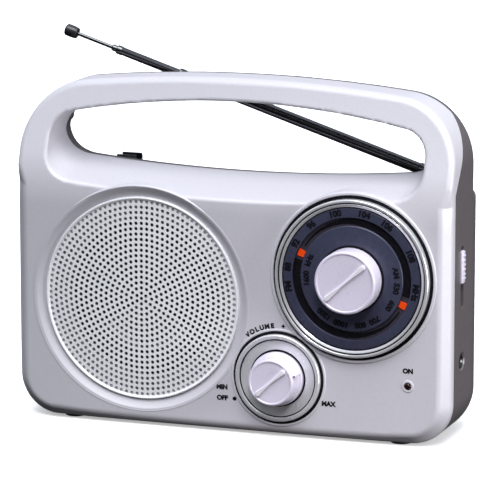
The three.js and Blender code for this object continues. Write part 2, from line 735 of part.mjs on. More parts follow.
addTo(radio, "speaker_grille", grille(), silverMetal);
addTo(radio, "speaker_basket", speakerBasket(), steel);
addTo(radio, "speaker_cone", speakerCone(), paperCone);
addTo(radio, "speaker_magnet", speakerMagnet(), ferrite);

addTo(radio, "dial_bezel", dialBezel(), chrome);
addTo(radio, "dial_plate", dialPlate(), dialPaint);
addTo(radio, "pointer_disc", pointerDisc(), blackPlastic);
addTo(radio, "tuning_knob", tuningKnob(), knobPlastic);
addTo(radio, "tuning_shaft", tuningShaft(), brass);
addTo(radio, "tuning_capacitor", tuningCapacitor(), knobPlastic);

addTo(radio, "volume_ring", volumeRing(), chrome);
addTo(radio, "volume_knob", volumeKnob(), knobPlastic);
addTo(radio, "volume_shaft", volumeShaft(), steel);
addTo(radio, "volume_potentiometer", volumePotentiometer(), steel);

addTo(radio, "power_led", powerLed(), ledPlastic);
addTo(radio, "band_switch_lever", bandSwitchLever(), silverPlastic);
addTo(radio, "band_switch_body", bandSwitchBody(), steel);
addTo(radio, "headphone_jack", headphoneJack(), blackPlastic);

addTo(radio, "main_board", mainBoard(), boardGreen);
addTo(radio, "ferrite_rod", ferriteRod(), ferrite);
addTo(radio, "ferrite_coil", ferriteCoil(), copperCoil);
addTo(radio, "ferrite_holder_left", ferriteHolder(18), blackPlastic);
addTo(radio, "ferrite_holder_right", ferriteHolder(84), blackPlastic);
addTo(radio, "mains_transformer", mainsTransformer(), steel);
addTo(radio, "mains_inlet", mainsInlet(), blackPlastic);
addTo(radio, "mains_pin_left", mainsPin(-1), brass);
addTo(radio, "mains_pin_right", mainsPin(1), brass);

addTo(radio, "battery_plate_lower", contactPlate(BAY.x1 - 0.9, ROWS_Z[0]), steel);
addTo(radio, "battery_plate_upper", contactPlate(BAY.x0 + GAP, ROWS_Z[1]), steel);
addTo(radio, "battery_spring_lower", contactSpring(BAY.x0 + 0.8, 1, ROWS_Z[0]), steel);
addTo(radio, "battery_spring_upper", contactSpring(BAY.x1 - 0.8, -1, ROWS_Z[1]), steel);

for (const [side, x] of [["left", -95], ["right", 95]]) {
  addTo(radio, `foot_front_${side}`, foot(x, 13, -GAP), rubber);
  addTo(radio, `foot_rear_${side}`, foot(x, 50, -0.1), rubber);
}
for (const screw of SCREWS) addTo(radio, `screw_${screw.name}`, casingScrew(screw), steel);

addTo(radio, "aerial_swivel", aerialSwivel(), chrome);
addTo(radio, "aerial_retaining_ring", retainingRing(), steel);
addTo(radio, "aerial_pivot_pin", pivotPin(), steel);
addTo(radio, "aerial_clip", aerialClip(), blackPlastic);
addTo(aerial, "aerial_knuckle", aerialKnuckle(), chrome);
for (const tube of AERIAL_TUBES) addTo(aerial, tube.name, aerialTube(tube), chrome);
addTo(aerial, "aerial_rod", aerialRod(), chrome);
addTo(aerial, "aerial_tip", aerialTip(), blackPlastic);

aerial.position.set(AERIAL.x, AERIAL.y, AERIAL.z);
aerial.rotation.y = AERIAL.rise;
radio.add(aerial);

// The finished part's origin is under the middle of its box, on the surface that its feet stand on.
const FRONTMOST = TUNING_KNOB_FRONT - RIDGE_HEIGHT;
radio.position.set(0, -(FRONTMOST + DEPTH) / 2, FOOT_HEIGHT);

export default radio;
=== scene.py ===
"""Looks for a portable AM/FM radio with a carry handle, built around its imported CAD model.

Shapes are drawn in design millimetres: X right, Y back from the flat front face, Z up from the
casing's underside. They turn into metres in the model's frame when a mesh is made.
"""
import json
import math

import bmesh
import bpy
import numpy as np
from mathutils import Matrix, Vector
from mathutils.geometry import delaunay_2d_cdt


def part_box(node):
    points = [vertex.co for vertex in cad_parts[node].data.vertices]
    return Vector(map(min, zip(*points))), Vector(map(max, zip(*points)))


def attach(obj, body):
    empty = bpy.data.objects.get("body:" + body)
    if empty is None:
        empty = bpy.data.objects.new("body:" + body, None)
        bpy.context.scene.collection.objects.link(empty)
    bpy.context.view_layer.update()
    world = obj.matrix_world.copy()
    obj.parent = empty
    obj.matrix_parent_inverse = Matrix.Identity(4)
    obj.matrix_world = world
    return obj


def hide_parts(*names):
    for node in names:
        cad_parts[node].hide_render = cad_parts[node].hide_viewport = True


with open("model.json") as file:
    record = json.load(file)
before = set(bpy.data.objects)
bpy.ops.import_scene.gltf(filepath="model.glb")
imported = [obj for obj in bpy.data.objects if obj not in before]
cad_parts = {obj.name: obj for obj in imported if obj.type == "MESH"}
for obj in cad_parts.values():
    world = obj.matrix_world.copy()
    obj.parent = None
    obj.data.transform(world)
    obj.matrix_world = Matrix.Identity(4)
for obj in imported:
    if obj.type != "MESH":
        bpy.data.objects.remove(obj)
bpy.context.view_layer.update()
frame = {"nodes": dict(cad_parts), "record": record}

MM = 0.001
FRONT_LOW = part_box("front_shell")[0]
OFFSET = Vector((0, FRONT_LOW.y, FRONT_LOW.z))

# ---------- driving dimensions, in design millimetres ----------
HALF_WIDTH = 125
TOP = 191.3
DEPTH = 70
WALL = 2.4
GAP = 0.3
TOP_ARC_R = 846
TOP_CORNER_R = 38
BOTTOM_CORNER_R = 22
REAR_TAPER_START = 40
REAR_TAPER = 13
BOTTOM_TAPER_SHARE = 0.4

CREASE_Z = 134
LEAN = math.radians(20)
CREASE_SOFTNESS = 5

OPENING_HALF = 108
OPENING_TOP = 179
OPENING_ARC_R = 500
OPENING_TOP_CORNER_R = 15
OPENING_BOTTOM_CORNER_R = 14
OPENING_EDGE_R = 1.7
SILL_MIDDLE = 128
SILL_END = 132.7
RIDGE_Y = 34
RIDGE_RISE = 10.8
REAR_FLARE = 0.17
HANDLE_BACK = 47
SHELF_Z = 131
SHELF_BACK = 62
REAR_EDGE_R = 3

PARTING_Y = 10
PARTING_BEND_Z = 136
PARTING_SLOPE = 0.75
PARTING_HANDLE_Y = 40
PARTING_INNER_HALF = 113
PARTING_INNER_Z = 124

SPEAKER = (-51.1, 69.8)
GRILLE_R = 55.5
GRILLE_RECESS_R = 61.5
GRILLE_RECESS_DEPTH = 3.2
GRILLE_COLLAR_R = 63.7
COLLAR_BACK = 24

DIAL = (71.2, 89.9)
BEZEL_R = 43.2
BEZEL_GAP_R = 45.1
DIAL_COLLAR_R = 47
DIAL_PLATE_R = 38.6
WINDOW_R = (28.9, 33.4)
TUNING_KNOB_R = 17.2

VOLUME = (29, 31.9)
VOLUME_RING_R = 24.2
VOLUME_GAP_R = 25.8
VOLUME_KNOB_R = 12.9
VOLUME_BASE_R = 14.8
RIDGE_ANGLE = math.radians(42)

LED = (102.3, 32.7)
LED_R = 1.8
SWITCH_Y = 24
SWITCH_SLOT = (71.5, 106.5)
SWITCH_LEVER = (86, 104)
SWITCH_HALF_SLOT = 2.75
JACK_PLACE = (25, 43)
JACK_R = 4

CASE_SCREWS = {
    "lower_left": (-104, 16), "lower_right": (104, 16),
    "upper_left": (-104, 112), "upper_right": (104, 112),
}
HANDLE_SCREWS = {"handle_left": (-113, 163), "handle_right": (113, 163)}
ALL_SCREWS = {**CASE_SCREWS, **HANDLE_SCREWS}
BOSS_ENDS = {False: 36.7, True: 34.5}  # by whether the screw is in the handle
WELL_FLOORS = {False: 40, True: 37}

BAY = {"x": (-8, 96), "y": 41, "z": (7.5, 60.5), "wall": 1.8}
INLET = {"x": -88, "z": 84, "half_width": 11, "half_height": 7, "front": 54}

AERIAL = (103, 53, 138.3)
AERIAL_RISE = math.radians(18)

ALONG_X = Matrix.Rotation(math.radians(90), 4, "Y")
ALONG_Y = Matrix.Rotation(math.radians(-90), 4, "X")
ALONG_Z = Matrix.Identity(4)
ACROSS = Matrix(((0, 0, 1, 0), (1, 0, 0, 0), (0, 1, 0, 0), (0, 0, 0, 1)))
ALONG_AERIAL = Matrix.Translation(AERIAL) @ Matrix.Rotation(AERIAL_RISE - math.radians(90), 4, "Y")


def set_inputs(node, values):
    for name, value in values.items():
        node.inputs[name].default_value = value


# ---------- camera, light and floor ----------
def aim(thing, target):
    thing.rotation_euler = (target - thing.location).to_track_quat("-Z", "Y").to_euler()


def add_camera():
    azimuth = math.radians(19.54)
    elevation = math.radians(11.05)
    distance = 2.0
    target = Vector((12.6, 0, 104.7)) * MM + OFFSET
    level = distance * math.cos(elevation)
    away = Vector((level * math.sin(azimuth), -level * math.cos(azimuth), distance * math.sin(elevation)))
    lens = bpy.data.cameras.new("camera")
    lens.lens = 266.5
    lens.sensor_width = 36
    lens.clip_end = 20
    camera = bpy.data.objects.new("camera", lens)
    camera.location = target + away
    aim(camera, target)
    bpy.context.scene.collection.objects.link(camera)
    bpy.context.scene.camera = camera


def add_light(name, kind, place, target, power, colour=(1, 1, 1)):
    """A lamp aimed at a target, in metres."""
    light = bpy.data.lights.new(name, kind)
    light.energy = power
    light.color = colour
    lamp = bpy.data.objects.new(name, light)
    lamp.location = place
    aim(lamp, Vector(target))
    bpy.context.scene.collection.objects.link(lamp)
    return light


def add_sun(name, azimuth, elevation, angle, strength, colour):
    """A soft distant light. Azimuth 0 comes from the front and 90 from the right."""
    a, e = math.radians(azimuth), math.radians(elevation)
    place = (math.sin(a) * math.cos(e), -math.cos(a) * math.cos(e), math.sin(e))
    add_light(name, "SUN", place, (0, 0, 0), strength, colour).angle = math.radians(angle)


def add_strip(name, place, target, width, height, power):
    """A rectangular soft light."""
    light = add_light(name, "AREA", place, target, power)
    light.shape = "RECTANGLE"
    light.size = width
    light.size_y = height


def add_spot(name, place, target, angle, power, colour):
    """A soft-edged spot that lifts one area."""
    light = add_light(name, "SPOT", place, target, power, colour)
    light.spot_size = math.radians(angle)
    light.spot_blend = 1
    light.shadow_soft_size = 0.12


def add_studio():
    """A room that is bright overhead and dark below, a soft key, a side strip and a low fill."""
    world = bpy.data.worlds.new("studio")
    bpy.context.scene.world = world
    world.use_nodes = True
    tree = world.node_tree
    direction = tree.nodes.new("ShaderNodeTexCoord")
    parts = tree.nodes.new("ShaderNodeSeparateXYZ")
    height = tree.nodes.new("ShaderNodeMapRange")
    height.inputs["From Min"].default_value = -1
    ramp = tree.nodes.new("ShaderNodeValToRGB")
    stops = ramp.color_ramp.elements
    stops[0].position = 0.4
    stops[0].color = (0.03, 0.028, 0.028, 1)
    stops.new(0.62).color = (0.08, 0.08, 0.084, 1)
    stops[-1].position = 0.82
    stops[-1].color = (0.76, 0.82, 0.92, 1)
    tree.links.new(direction.outputs["Generated"], parts.inputs["Vector"])
    tree.links.new(parts.outputs["Z"], height.inputs["Value"])
    tree.links.new(height.outputs["Result"], ramp.inputs["Fac"])
    tree.links.new(ramp.outputs["Color"], tree.nodes["Background"].inputs["Color"])
    add_sun("key", 12, 64, 42, 3.1, (0.97, 0.985, 1))
    add_strip("side_strip", (1.1, -0.2, 0.06), (0.1, 0, 0.08), 0.35, 0.6, 14)
    add_spot("low_fill", (0.42, -0.95, 0.75), (0.075, -0.04, 0.02), 11, 36, (1, 0.93, 0.95))
    bpy.context.scene.view_settings.view_transform = "Standard"


def add_floor():
    """A pale floor that takes shadow but throws no light or reflection back onto the radio."""
    size = 6
    mesh = bpy.data.meshes.new("floor")
    corners = [(-size, -size, 0), (size, -size, 0), (size, size, 0), (-size, size, 0)]
    mesh.from_pydata(corners, [], [(0, 1, 2, 3)])
    floor = bpy.data.objects.new("floor", mesh)
    bpy.context.scene.collection.objects.link(floor)
    material = bpy.data.materials.new("floor")
    material.use_nodes = True
    shader = material.node_tree.nodes["Principled BSDF"]
    set_inputs(shader, {
        "Base Color": (0.9, 0.9, 0.9, 1),
        "Roughness": 0.9,
        "Specular IOR Level": 0.1,
        "Emission Color": (1, 1, 1, 1),
        "Emission Strength": 0.4,
    })
    mesh.materials.append(material)
    floor.visible_diffuse = False
    floor.visible_glossy = False


# ---------- making and combining meshes ----------
def new_object(name, points, faces):
    """An object from points in design millimetres, its faces turned outwards."""
    mesh = bpy.data.meshes.new(name)
    metres = np.asarray(points, dtype=float) * MM + np.array(OFFSET)
    mesh.from_pydata(metres.tolist(), [], [list(face) for face in faces])
    form = bmesh.new()
    form.from_mesh(mesh)
    bmesh.ops.recalc_face_normals(form, faces=form.faces)
    form.to_mesh(mesh)
    form.free()
    piece = bpy.data.objects.new(name, mesh)
    bpy.context.scene.collection.objects.link(piece)
    return piece


def lathe(name, profile, axis, segments=96):
    """A profile of (radius, height) points turned about the axis matrix's local Z."""
    points = []
    rings = []
    for radius, height in profile:
        count = 1 if radius == 0 else segments
        rings.append([len(points) + i for i in range(count)])
        for i in range(count):
            angle = 2 * math.pi * i / count
            points.append(axis @ Vector((radius * math.cos(angle), radius * math.sin(angle), height)))
    pairs = list(zip(rings, rings[1:]))
    if profile[0][0] != 0 or profile[-1][0] != 0:
        pairs.append((rings[-1], rings[0]))
    faces = []
    for first, second in pairs:
        for i in range(segments):
            j = (i + 1) % segments
            near = (first[i % len(first)], first[j % len(first)])
            far = (second[j % len(second)], second[i % len(second)])
            face = list(dict.fromkeys(near + far))
            if len(face) > 2:
                faces.append(face)
    return new_object(name, points, faces)


def round_at(centre):
    """The axis matrix of a part turned about Y through (x, z)."""
    return Matrix.Translation((centre[0], 0, centre[1])) @ ALONG_Y


def filleted(corners, steps=5):
    """A closed profile whose corners are given as (radius, height, rounding)."""
    profile = []
    for i, (x, y, rounding) in enumerate(corners):
        corner = Vector((x, y))
        if rounding == 0:
            profile.append((x, y))
            continue
        to_before = (Vector(corners[i - 1][:2]) - corner).normalized()
        to_after = (Vector(corners[(i + 1) % len(corners)][:2]) - corner).normalized()
        half_angle = to_before.angle(to_after) / 2
        centre = corner + (to_before + to_after).normalized() * rounding / math.sin(half_angle)
        reach = rounding / math.tan(half_angle)
        start = corner + to_before * reach - centre
        end = corner + to_after * reach - centre
        for step in range(steps + 1):
            profile.append(tuple(centre + start.lerp(end, step / steps).normalized() * rounding))
    return profile


def prism(name, outline, low, high, axis):
    """An outline in the axis matrix's local X and Y, running along its local Z."""
    count = len(outline)
    points = [axis @ Vector((u, v, height)) for height in (low, high) for u, v in outline]
    faces = [range(count), range(2 * count - 1, count - 1, -1)]
    for i in range(count):
        j = (i + 1) % count
        faces.append((i, j, count + j, count + i))
    return new_object(name, points, faces)


def block(name, x, y, z):
    outline = [(x[0], y[0]), (x[1], y[0]), (x[1], y[1]), (x[0], y[1])]
    return prism(name, outline, z[0], z[1], ALONG_Z)


def applied(piece):
    """Turns a piece's modifiers into plain mesh."""
    graph = bpy.context.evaluated_depsgraph_get()
    mesh = bpy.data.meshes.new_from_object(piece.evaluated_get(graph))
    piece.modifiers.clear()
    old = piece.data
    piece.data = mesh
    bpy.data.meshes.remove(old)
    return piece


def combine(piece, operation, *others):
    """Adds the others to a piece, cuts them away or keeps what is common, and uses them up."""
    for other in others:
        modifier = piece.modifiers.new(operation, "BOOLEAN")
        modifier.operation = operation
        modifier.object = other
        modifier.solver = "MANIFOLD"
    applied(piece)
    for other in others:
        mesh = other.data
        bpy.data.objects.remove(other)
        bpy.data.meshes.remove(mesh)
    return piece


def softened(piece, width, segments=3):
    """Rounds a piece's sharp edges."""
    modifier = piece.modifiers.new("edges", "BEVEL")
    modifier.width = width * MM
    modifier.segments = segments
    modifier.limit_method = "ANGLE"
    modifier.angle_limit = math.radians(35)
    return applied(piece)


def shaded(piece, angle=32):
    piece.data.shade_smooth()
    piece.data.set_sharp_from_angle(angle=math.radians(angle))
    return piece


def finished(piece, body, look, *nodes, slot=None):
    """Gives a piece its material and its body, and hides the CAD nodes that it stands for."""
    piece.data.materials.clear()
    piece.data.materials.append(LOOKS[look])
    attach(piece, body)
    if nodes:
        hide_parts(*nodes)


def turned(name, profile, axis, segments, angle, body, look, *nodes, slot=None):
    """A finished piece from a turned profile, its edges sharp past this angle."""
    finished(shaded(lathe(name, profile, axis, segments), angle), body, look, *nodes, slot=slot)


# ---------- the casing as a distance field ----------
def rounded_max(a, b, radius):
    """Distance to what lies inside both a and b, with the edge between them rounded."""
    corner = np.hypot(np.maximum(a + radius, 0), np.maximum(b + radius, 0))
    return np.minimum(np.maximum(a, b), -radius) + corner


def soft_min(a, b, softness):
    share = np.clip(0.5 + 0.5 * (b - a) / softness, 0, 1)
    return b + (a - b) * share - softness * share * (1 - share)


def arched(x, z, half, top, arc_r, corner_r):
    """Distance to a form with straight sides, round top corners and a shallow arc between them."""
    arc_z = top - arc_r
    corner_x = half - corner_r
    corner_z = arc_z + math.sqrt((arc_r - corner_r) ** 2 - corner_x**2)
    join = math.atan2(corner_z - arc_z, corner_x)
    across = np.abs(x) - corner_x
    up = z - corner_z
    in_corner = (up > 0) & (np.arctan2(up, across) < join)
    plain = np.maximum(np.abs(x) - half, np.hypot(x, z - arc_z) - arc_r)
    return np.where(in_corner, np.hypot(across, up) - corner_r, plain)


def outline_distance(x, z):
    upper = arched(x, z, HALF_WIDTH, TOP, TOP_ARC_R, TOP_CORNER_R)
    across = np.abs(x) - HALF_WIDTH
    lower = rounded_max(across, -z, BOTTOM_CORNER_R)
    return np.maximum(upper, lower)


def opening_distance(x, y, z):
    """The handle opening: its sill slopes up to the ridge, and behind the ridge it widens a little."""
    upper = arched(x, z, OPENING_HALF, OPENING_TOP, OPENING_ARC_R, OPENING_TOP_CORNER_R)
    back = soft_min(y, np.full_like(y, RIDGE_Y), 4)
    rise = RIDGE_RISE / RIDGE_Y * np.maximum(back, 0)
    half_sill = OPENING_HALF - OPENING_BOTTOM_CORNER_R
    sill = SILL_MIDDLE + (SILL_END - SILL_MIDDLE) * np.minimum((x / half_sill) ** 2, 1.1) + rise
    lower = rounded_max(sill - z, np.abs(x) - OPENING_HALF, OPENING_BOTTOM_CORNER_R)
    return np.maximum(upper, lower) - REAR_FLARE * (y - back)


def front_distance(y, z):
    """The flat face, leaning back above a soft crease."""
    leaning = ((z - CREASE_Z) * math.tan(LEAN) - y) * math.cos(LEAN)
    return -soft_min(y, -leaning, CREASE_SOFTNESS)


def bevelled_max(a, b, width, softness):
    """Distance to what lies inside both a and b, with a soft bevel of this width along the edge."""
    bevel = (a + b + width) * math.sqrt(0.5)
    return rounded_max(np.maximum(a, b), bevel, softness)


def front_bevel(x, z):
    """The front edge's bevel: wide at the bottom corners, narrower between them, narrow on the handle."""
    low = np.clip(1 - z / 45, 0, 1) ** 2
    out = np.clip(np.abs(x) / HALF_WIDTH, 0, 1)
    body = 5.5 + low * (4.5 * out**4 - 2.5)
    handle = np.clip((z - CREASE_Z + 4) / 10, 0, 1)
    return body + (1.6 - body) * handle


def casing_distance(x, y, z):
    share = np.clip((y - REAR_TAPER_START) / (DEPTH - REAR_TAPER_START), 0, 0.9999)
    taper = REAR_TAPER * (1 - np.sqrt(1 - share**2))
    middle = TOP / 2
    upright = 0.5 + 0.5 * np.tanh((z - middle) / 12)
    drop = BOTTOM_TAPER_SHARE + (1 - BOTTOM_TAPER_SHARE) * upright
    wide_x = x / (1 - taper / HALF_WIDTH)
    wide_z = middle + (z - middle) / (1 - drop * taper / middle)
    sides = outline_distance(wide_x, wide_z)
    front = front_distance(y, z)
    form = bevelled_max(sides, front, front_bevel(x, z), 1.2)
    form = np.maximum(form, y - DEPTH)
    form = rounded_max(form, -opening_distance(x, y, z), OPENING_EDGE_R)
    shelf = np.maximum(z - SHELF_Z, (z - SHELF_Z) + (y - SHELF_BACK) * 0.5)
    behind = soft_min(y - HANDLE_BACK, shelf, 3)
    return rounded_max(form, behind, REAR_EDGE_R)


def gradient(field, points, step=0.03):
    slopes = np.empty_like(points)
    for axis in range(3):
        shift = np.zeros(3)
        shift[axis] = step
        ahead = field(*(points + shift).T)
        behind = field(*(points - shift).T)
        slopes[:, axis] = (ahead - behind) / (2 * step)
    return slopes


def surface_net(name, field, low, high, pitch):
    """A closed quad mesh of a field's zero surface, its points moved onto the surface."""
    counts = [int(math.ceil((b - a) / pitch)) + 1 for a, b in zip(low, high)]
    axes = [a + pitch * np.arange(n) for a, n in zip(low, counts)]
    values = field(*np.meshgrid(*axes, indexing="ij"))
    inside = values < 0
    cells = tuple(n - 1 for n in counts)
    total = np.zeros(cells + (3,))
    hits = np.zeros(cells)
    crossings = []
    for axis in range(3):
        near = [slice(None)] * 3
        far = [slice(None)] * 3
        near[axis] = slice(None, -1)
        far[axis] = slice(1, None)
        crossed = inside[tuple(near)] != inside[tuple(far)]
        at = np.argwhere(crossed)
        first = values[tuple(near)][crossed]
        second = values[tuple(far)][crossed]
        place = at.astype(float)
        place[:, axis] += first / (first - second)
        crossings.append((axis, at, inside[tuple(near)][crossed]))
        side, other = [k for k in range(3) if k != axis]
        for a in (0, 1):
            for b in (0, 1):
                cell = at.copy()
                cell[:, side] -= a
                cell[:, other] -= b
                np.add.at(total, tuple(cell.T), place)
                np.add.at(hits, tuple(cell.T), 1)
    index = np.full(cells, -1)
    active = hits > 0
    index[active] = np.arange(active.sum())
    points = total[active] / hits[active][:, None] * pitch + np.array(low)
    faces = []
    for axis, at, starts_inside in crossings:
        side, other = (axis + 1) % 3, (axis + 2) % 3
        corners = []
        for a, b in ((0, 0), (1, 0), (1, 1), (0, 1)):
            cell = at.copy()
            cell[:, side] -= a
            cell[:, other] -= b
            corners.append(index[tuple(cell.T)])
        quads = np.stack(corners, axis=1)
        quads[~starts_inside] = quads[~starts_inside][:, ::-1]
        faces.append(quads)
    start = points.copy()
    for _ in range(5):
        slopes = gradient(field, points)
        size = np.maximum((slopes**2).sum(axis=1), 0.1)
        points = points - slopes * (field(*points.T) / size)[:, None]
        points = start + np.clip(points - start, -0.8 * pitch, 0.8 * pitch)
    return new_object(name, points, np.concatenate(faces).tolist())


def shade_by_field(piece, field):
    """Takes the normals of the free-form surface from the field, and leaves the cut edges crisp."""
    shaded(piece, 28)
    mesh = piece.data
    points = np.empty(len(mesh.vertices) * 3)
    mesh.vertices.foreach_get("co", points)
    points = (points.reshape(-1, 3) - np.array(OFFSET)) / MM
    slopes = gradient(field, points)
    slopes /= np.maximum(np.linalg.norm(slopes, axis=1), 1e-9)[:, None]
    on_surface = np.abs(field(*points.T)) < 0.05
    corner_vertex = np.empty(len(mesh.loops), dtype=int)
    mesh.loops.foreach_get("vertex_index", corner_vertex)
    corner_normal = np.empty(len(mesh.loops) * 3)
    mesh.corner_normals.foreach_get("vector", corner_normal)
    corner_normal = corner_normal.reshape(-1, 3)
    sizes = np.empty(len(mesh.polygons), dtype=int)
    mesh.polygons.foreach_get("loop_total", sizes)
    face_normal = np.empty(len(mesh.polygons) * 3)
    mesh.polygons.foreach_get("normal", face_normal)
    face_normal = np.repeat(face_normal.reshape(-1, 3), sizes, axis=0)
    wanted = slopes[corner_vertex]
    agrees = (wanted * face_normal).sum(axis=1) > math.cos(math.radians(30))
    use = on_surface[corner_vertex] & agrees
    corner_normal[use] = wanted[use]
    mesh.normals_split_custom_set(corner_normal.tolist())
    return piece


# ---------- casing halves ----------
def front_region(name, grow):
    """The space on the front half's side of the parting surface."""
    far = 300
    y = PARTING_Y + grow
    handle_y = PARTING_HANDLE_Y + grow
    handle_z = PARTING_BEND_Z + (PARTING_HANDLE_Y - PARTING_Y) / PARTING_SLOPE
    top = TOP + 20
    profile = [(-far, -far), (y, -far), (y, PARTING_BEND_Z)]
    profile += [(handle_y, handle_z), (handle_y, top), (-far, top)]
    outer = prism(name, profile, -far, far, ACROSS)
    half = PARTING_INNER_HALF + grow
    inner = block(name, (-half, half), (-far, RIDGE_Y + grow), (PARTING_INNER_Z - grow, TOP + 10))
    return combine(outer, "UNION", inner)


def casing_block():
    """The whole casing as one hollow form."""
    low = (-HALF_WIDTH - 3.1, -3.3, -3.2)
    high = (HALF_WIDTH + 3, DEPTH + 3, TOP + 3)
    casing = surface_net("casing", casing_distance, low, high, 1.25)
    hollow = surface_net("hollow", lambda x, y, z: casing_distance(x, y, z) + WALL, low, high, 2.5)
    return combine(casing, "DIFFERENCE", hollow)


def collar(name, centre, radius, proud, rounding):
    corners = [(0, -proud, 0), (radius, -proud, rounding), (radius, COLLAR_BACK, 0), (0, COLLAR_BACK, 0)]
    return lathe(name, filleted(corners), round_at(centre), 160)


def lip(name, centre, inner, outer, proud):
    """A low raised ring round a control, soft on both edges."""
    rounding = 0.45 * min(outer - inner, 2 * proud)
    corners = [(inner, -proud, rounding), (outer, -proud, rounding), (outer + 0.6, 1, 0), (inner, 1, 0)]
    return lathe(name, filleted(corners), round_at(centre), 144)


def hole(name, radius, low, high, axis, segments=64):
    return lathe(name, [(0, low), (radius, low), (radius, high), (0, high)], axis, segments)


def groove(name, centre, inner, outer, depth):
    profile = [(inner, -3), (outer, -3), (outer, depth), (inner, depth)]
    return lathe(name, profile, round_at(centre), 144)


def grille_recess():
    """The dish round the grille, with a soft outer lip and the sound opening in its floor."""
    floor = GRILLE_RECESS_DEPTH
    inner = GRILLE_R + 0.5
    profile = [(0, -3), (GRILLE_RECESS_R + 1.9, -3), (GRILLE_RECESS_R + 1.3, -0.3)]
    profile += [(GRILLE_RECESS_R + 0.5, 0.02), (GRILLE_RECESS_R - 0.3, 0.42), (GRILLE_RECESS_R - 1.1, 0.9)]
    profile += [(inner, floor), (0, floor)]
    return lathe("recess", profile, round_at(SPEAKER), 160)


def front_casing(casing):
    front = combine(casing, "INTERSECT", front_region("front_side", 0))
    seat = hole("seat", GRILLE_COLLAR_R - 0.4, 0.5, GRILLE_RECESS_DEPTH + WALL, round_at(SPEAKER), 160)
    bosses = []
    for name, centre in ALL_SCREWS.items():
        handle = name in HANDLE_SCREWS
        start, radius = (14, 3.2) if handle else (1.2, 4)
        bosses.append(hole("boss", radius, start, BOSS_ENDS[handle], round_at(centre), 24))
    lips = [
        lip("dial_lip", DIAL, BEZEL_GAP_R, 46.6, 0.9),
        lip("volume_lip", VOLUME, VOLUME_GAP_R, 27.0, 0.5),
        lip("led_lip", LED, 2.0, 3.2, 0.3),
    ]
    combine(front, "UNION", seat, *bosses, *lips)
    cuts = [
        grille_recess(),
        hole("sound_hole", 52.5, -1, 10, round_at(SPEAKER), 128),
        groove("dial_groove", DIAL, BEZEL_R - 0.7, BEZEL_GAP_R, 1.6),
        hole("dial_hole", 37.5, -1, 10, round_at(DIAL), 128),
        groove("volume_groove", VOLUME, VOLUME_RING_R - 0.7, VOLUME_GAP_R, 1.6),
        hole("volume_hole", 5.4, -1, 10, round_at(VOLUME), 32),
        hole("led_hole", LED_R + GAP, -2, 10, round_at(LED), 32),
    ]
    for name, centre in ALL_SCREWS.items():
        end = BOSS_ENDS[name in HANDLE_SCREWS]
        cuts.append(hole("pilot", 1.65, end - 14, end + 1, round_at(centre), 16))
    combine(front, "DIFFERENCE", *cuts)
    front.name = "casing_front"
    return shade_by_field(front, casing_distance)


def rear_casing(casing):
    rear = combine(casing, "DIFFERENCE", front_region("front_side", GAP))
    wells = []
    cuts = []
    for name, centre in ALL_SCREWS.items():
        handle = name in HANDLE_SCREWS
        floor = WELL_FLOORS[handle]
        outside, radius = (HANDLE_BACK, 3.3) if handle else (DEPTH, 3.8)
        axis = round_at(centre)
        wells.append(hole("well", radius + 1.6, floor - 2.2, outside - 0.6, axis, 32))
        cuts.append(hole("well_bore", radius, floor, outside + 1, axis, 40))
        cuts.append(hole("screw_hole", 1.7, floor - 4, floor + 1, axis, 16))
    wall = BAY["wall"]
    grown = [(low - wall, high + wall) for low, high in (BAY["x"], BAY["z"])]
    wells.append(block("bay_walls", grown[0], (BAY["y"] - wall, DEPTH - 0.5), grown[1]))
    combine(rear, "UNION", *wells)
    cuts.append(block("bay", BAY["x"], (BAY["y"], DEPTH + 1), BAY["z"]))
    half_width, half_height = INLET["half_width"] + GAP, INLET["half_height"] + GAP
    inlet_x = (INLET["x"] - half_width, INLET["x"] + half_width)
    inlet_z = (INLET["z"] - half_height, INLET["z"] + half_height)
    cuts.append(block("inlet_hole", inlet_x, (DEPTH - 10, DEPTH + 1), inlet_z))
    slot_y = (SWITCH_Y - SWITCH_HALF_SLOT, SWITCH_Y + SWITCH_HALF_SLOT)
    cuts.append(softened(block("slot", (HALF_WIDTH - 6, HALF_WIDTH + 4), slot_y, SWITCH_SLOT), 2.2, 6))
    jack_axis = Matrix.Translation((0, *JACK_PLACE)) @ ALONG_X
    jack_profile = [(0, HALF_WIDTH - 6), (JACK_R + GAP, HALF_WIDTH - 6), (JACK_R + GAP, HALF_WIDTH - 0.9)]
    jack_profile += [(JACK_R + 1.4, HALF_WIDTH + 0.2), (JACK_R + 1.4, HALF_WIDTH + 1), (0, HALF_WIDTH + 1)]
    cuts.append(lathe("jack_hole", jack_profile, jack_axis, 48))
    swivel_axis = Matrix.Translation((AERIAL[0], AERIAL[1], 0))
    cuts.append(hole("swivel_hole", 4.8, SHELF_Z - 6, SHELF_Z + 1, swivel_axis, 40))
    combine(rear, "DIFFERENCE", *cuts)
    rear.name = "casing_rear"
    return shade_by_field(rear, casing_distance)


def add_casing():
    casing = casing_block()
    rear_block = casing.copy()
    rear_block.data = casing.data.copy()
    bpy.context.scene.collection.objects.link(rear_block)
    collars = [
        collar("speaker_collar", SPEAKER, GRILLE_COLLAR_R, 0.25, 1.2),
        collar("dial_collar", DIAL, DIAL_COLLAR_R, 0.3, 1.2),
    ]
    front = front_casing(combine(casing, "UNION", *collars))
    rear = rear_casing(rear_block)
    finished(front, "cabinet", "silver_casing", "front_shell")
    finished(rear, "cabinet", "grey_casing", "rear_shell")


# ---------- small drawing helpers ----------
def facing(centre, angle=0):
    """A matrix for things drawn on the front: local X and Y lie in the face, local Z points forwards."""
    turn = Matrix.Rotation(math.radians(90), 4, "X") @ Matrix.Rotation(angle, 4, "Z")
    return Matrix.Translation((centre[0], 0, centre[1])) @ turn


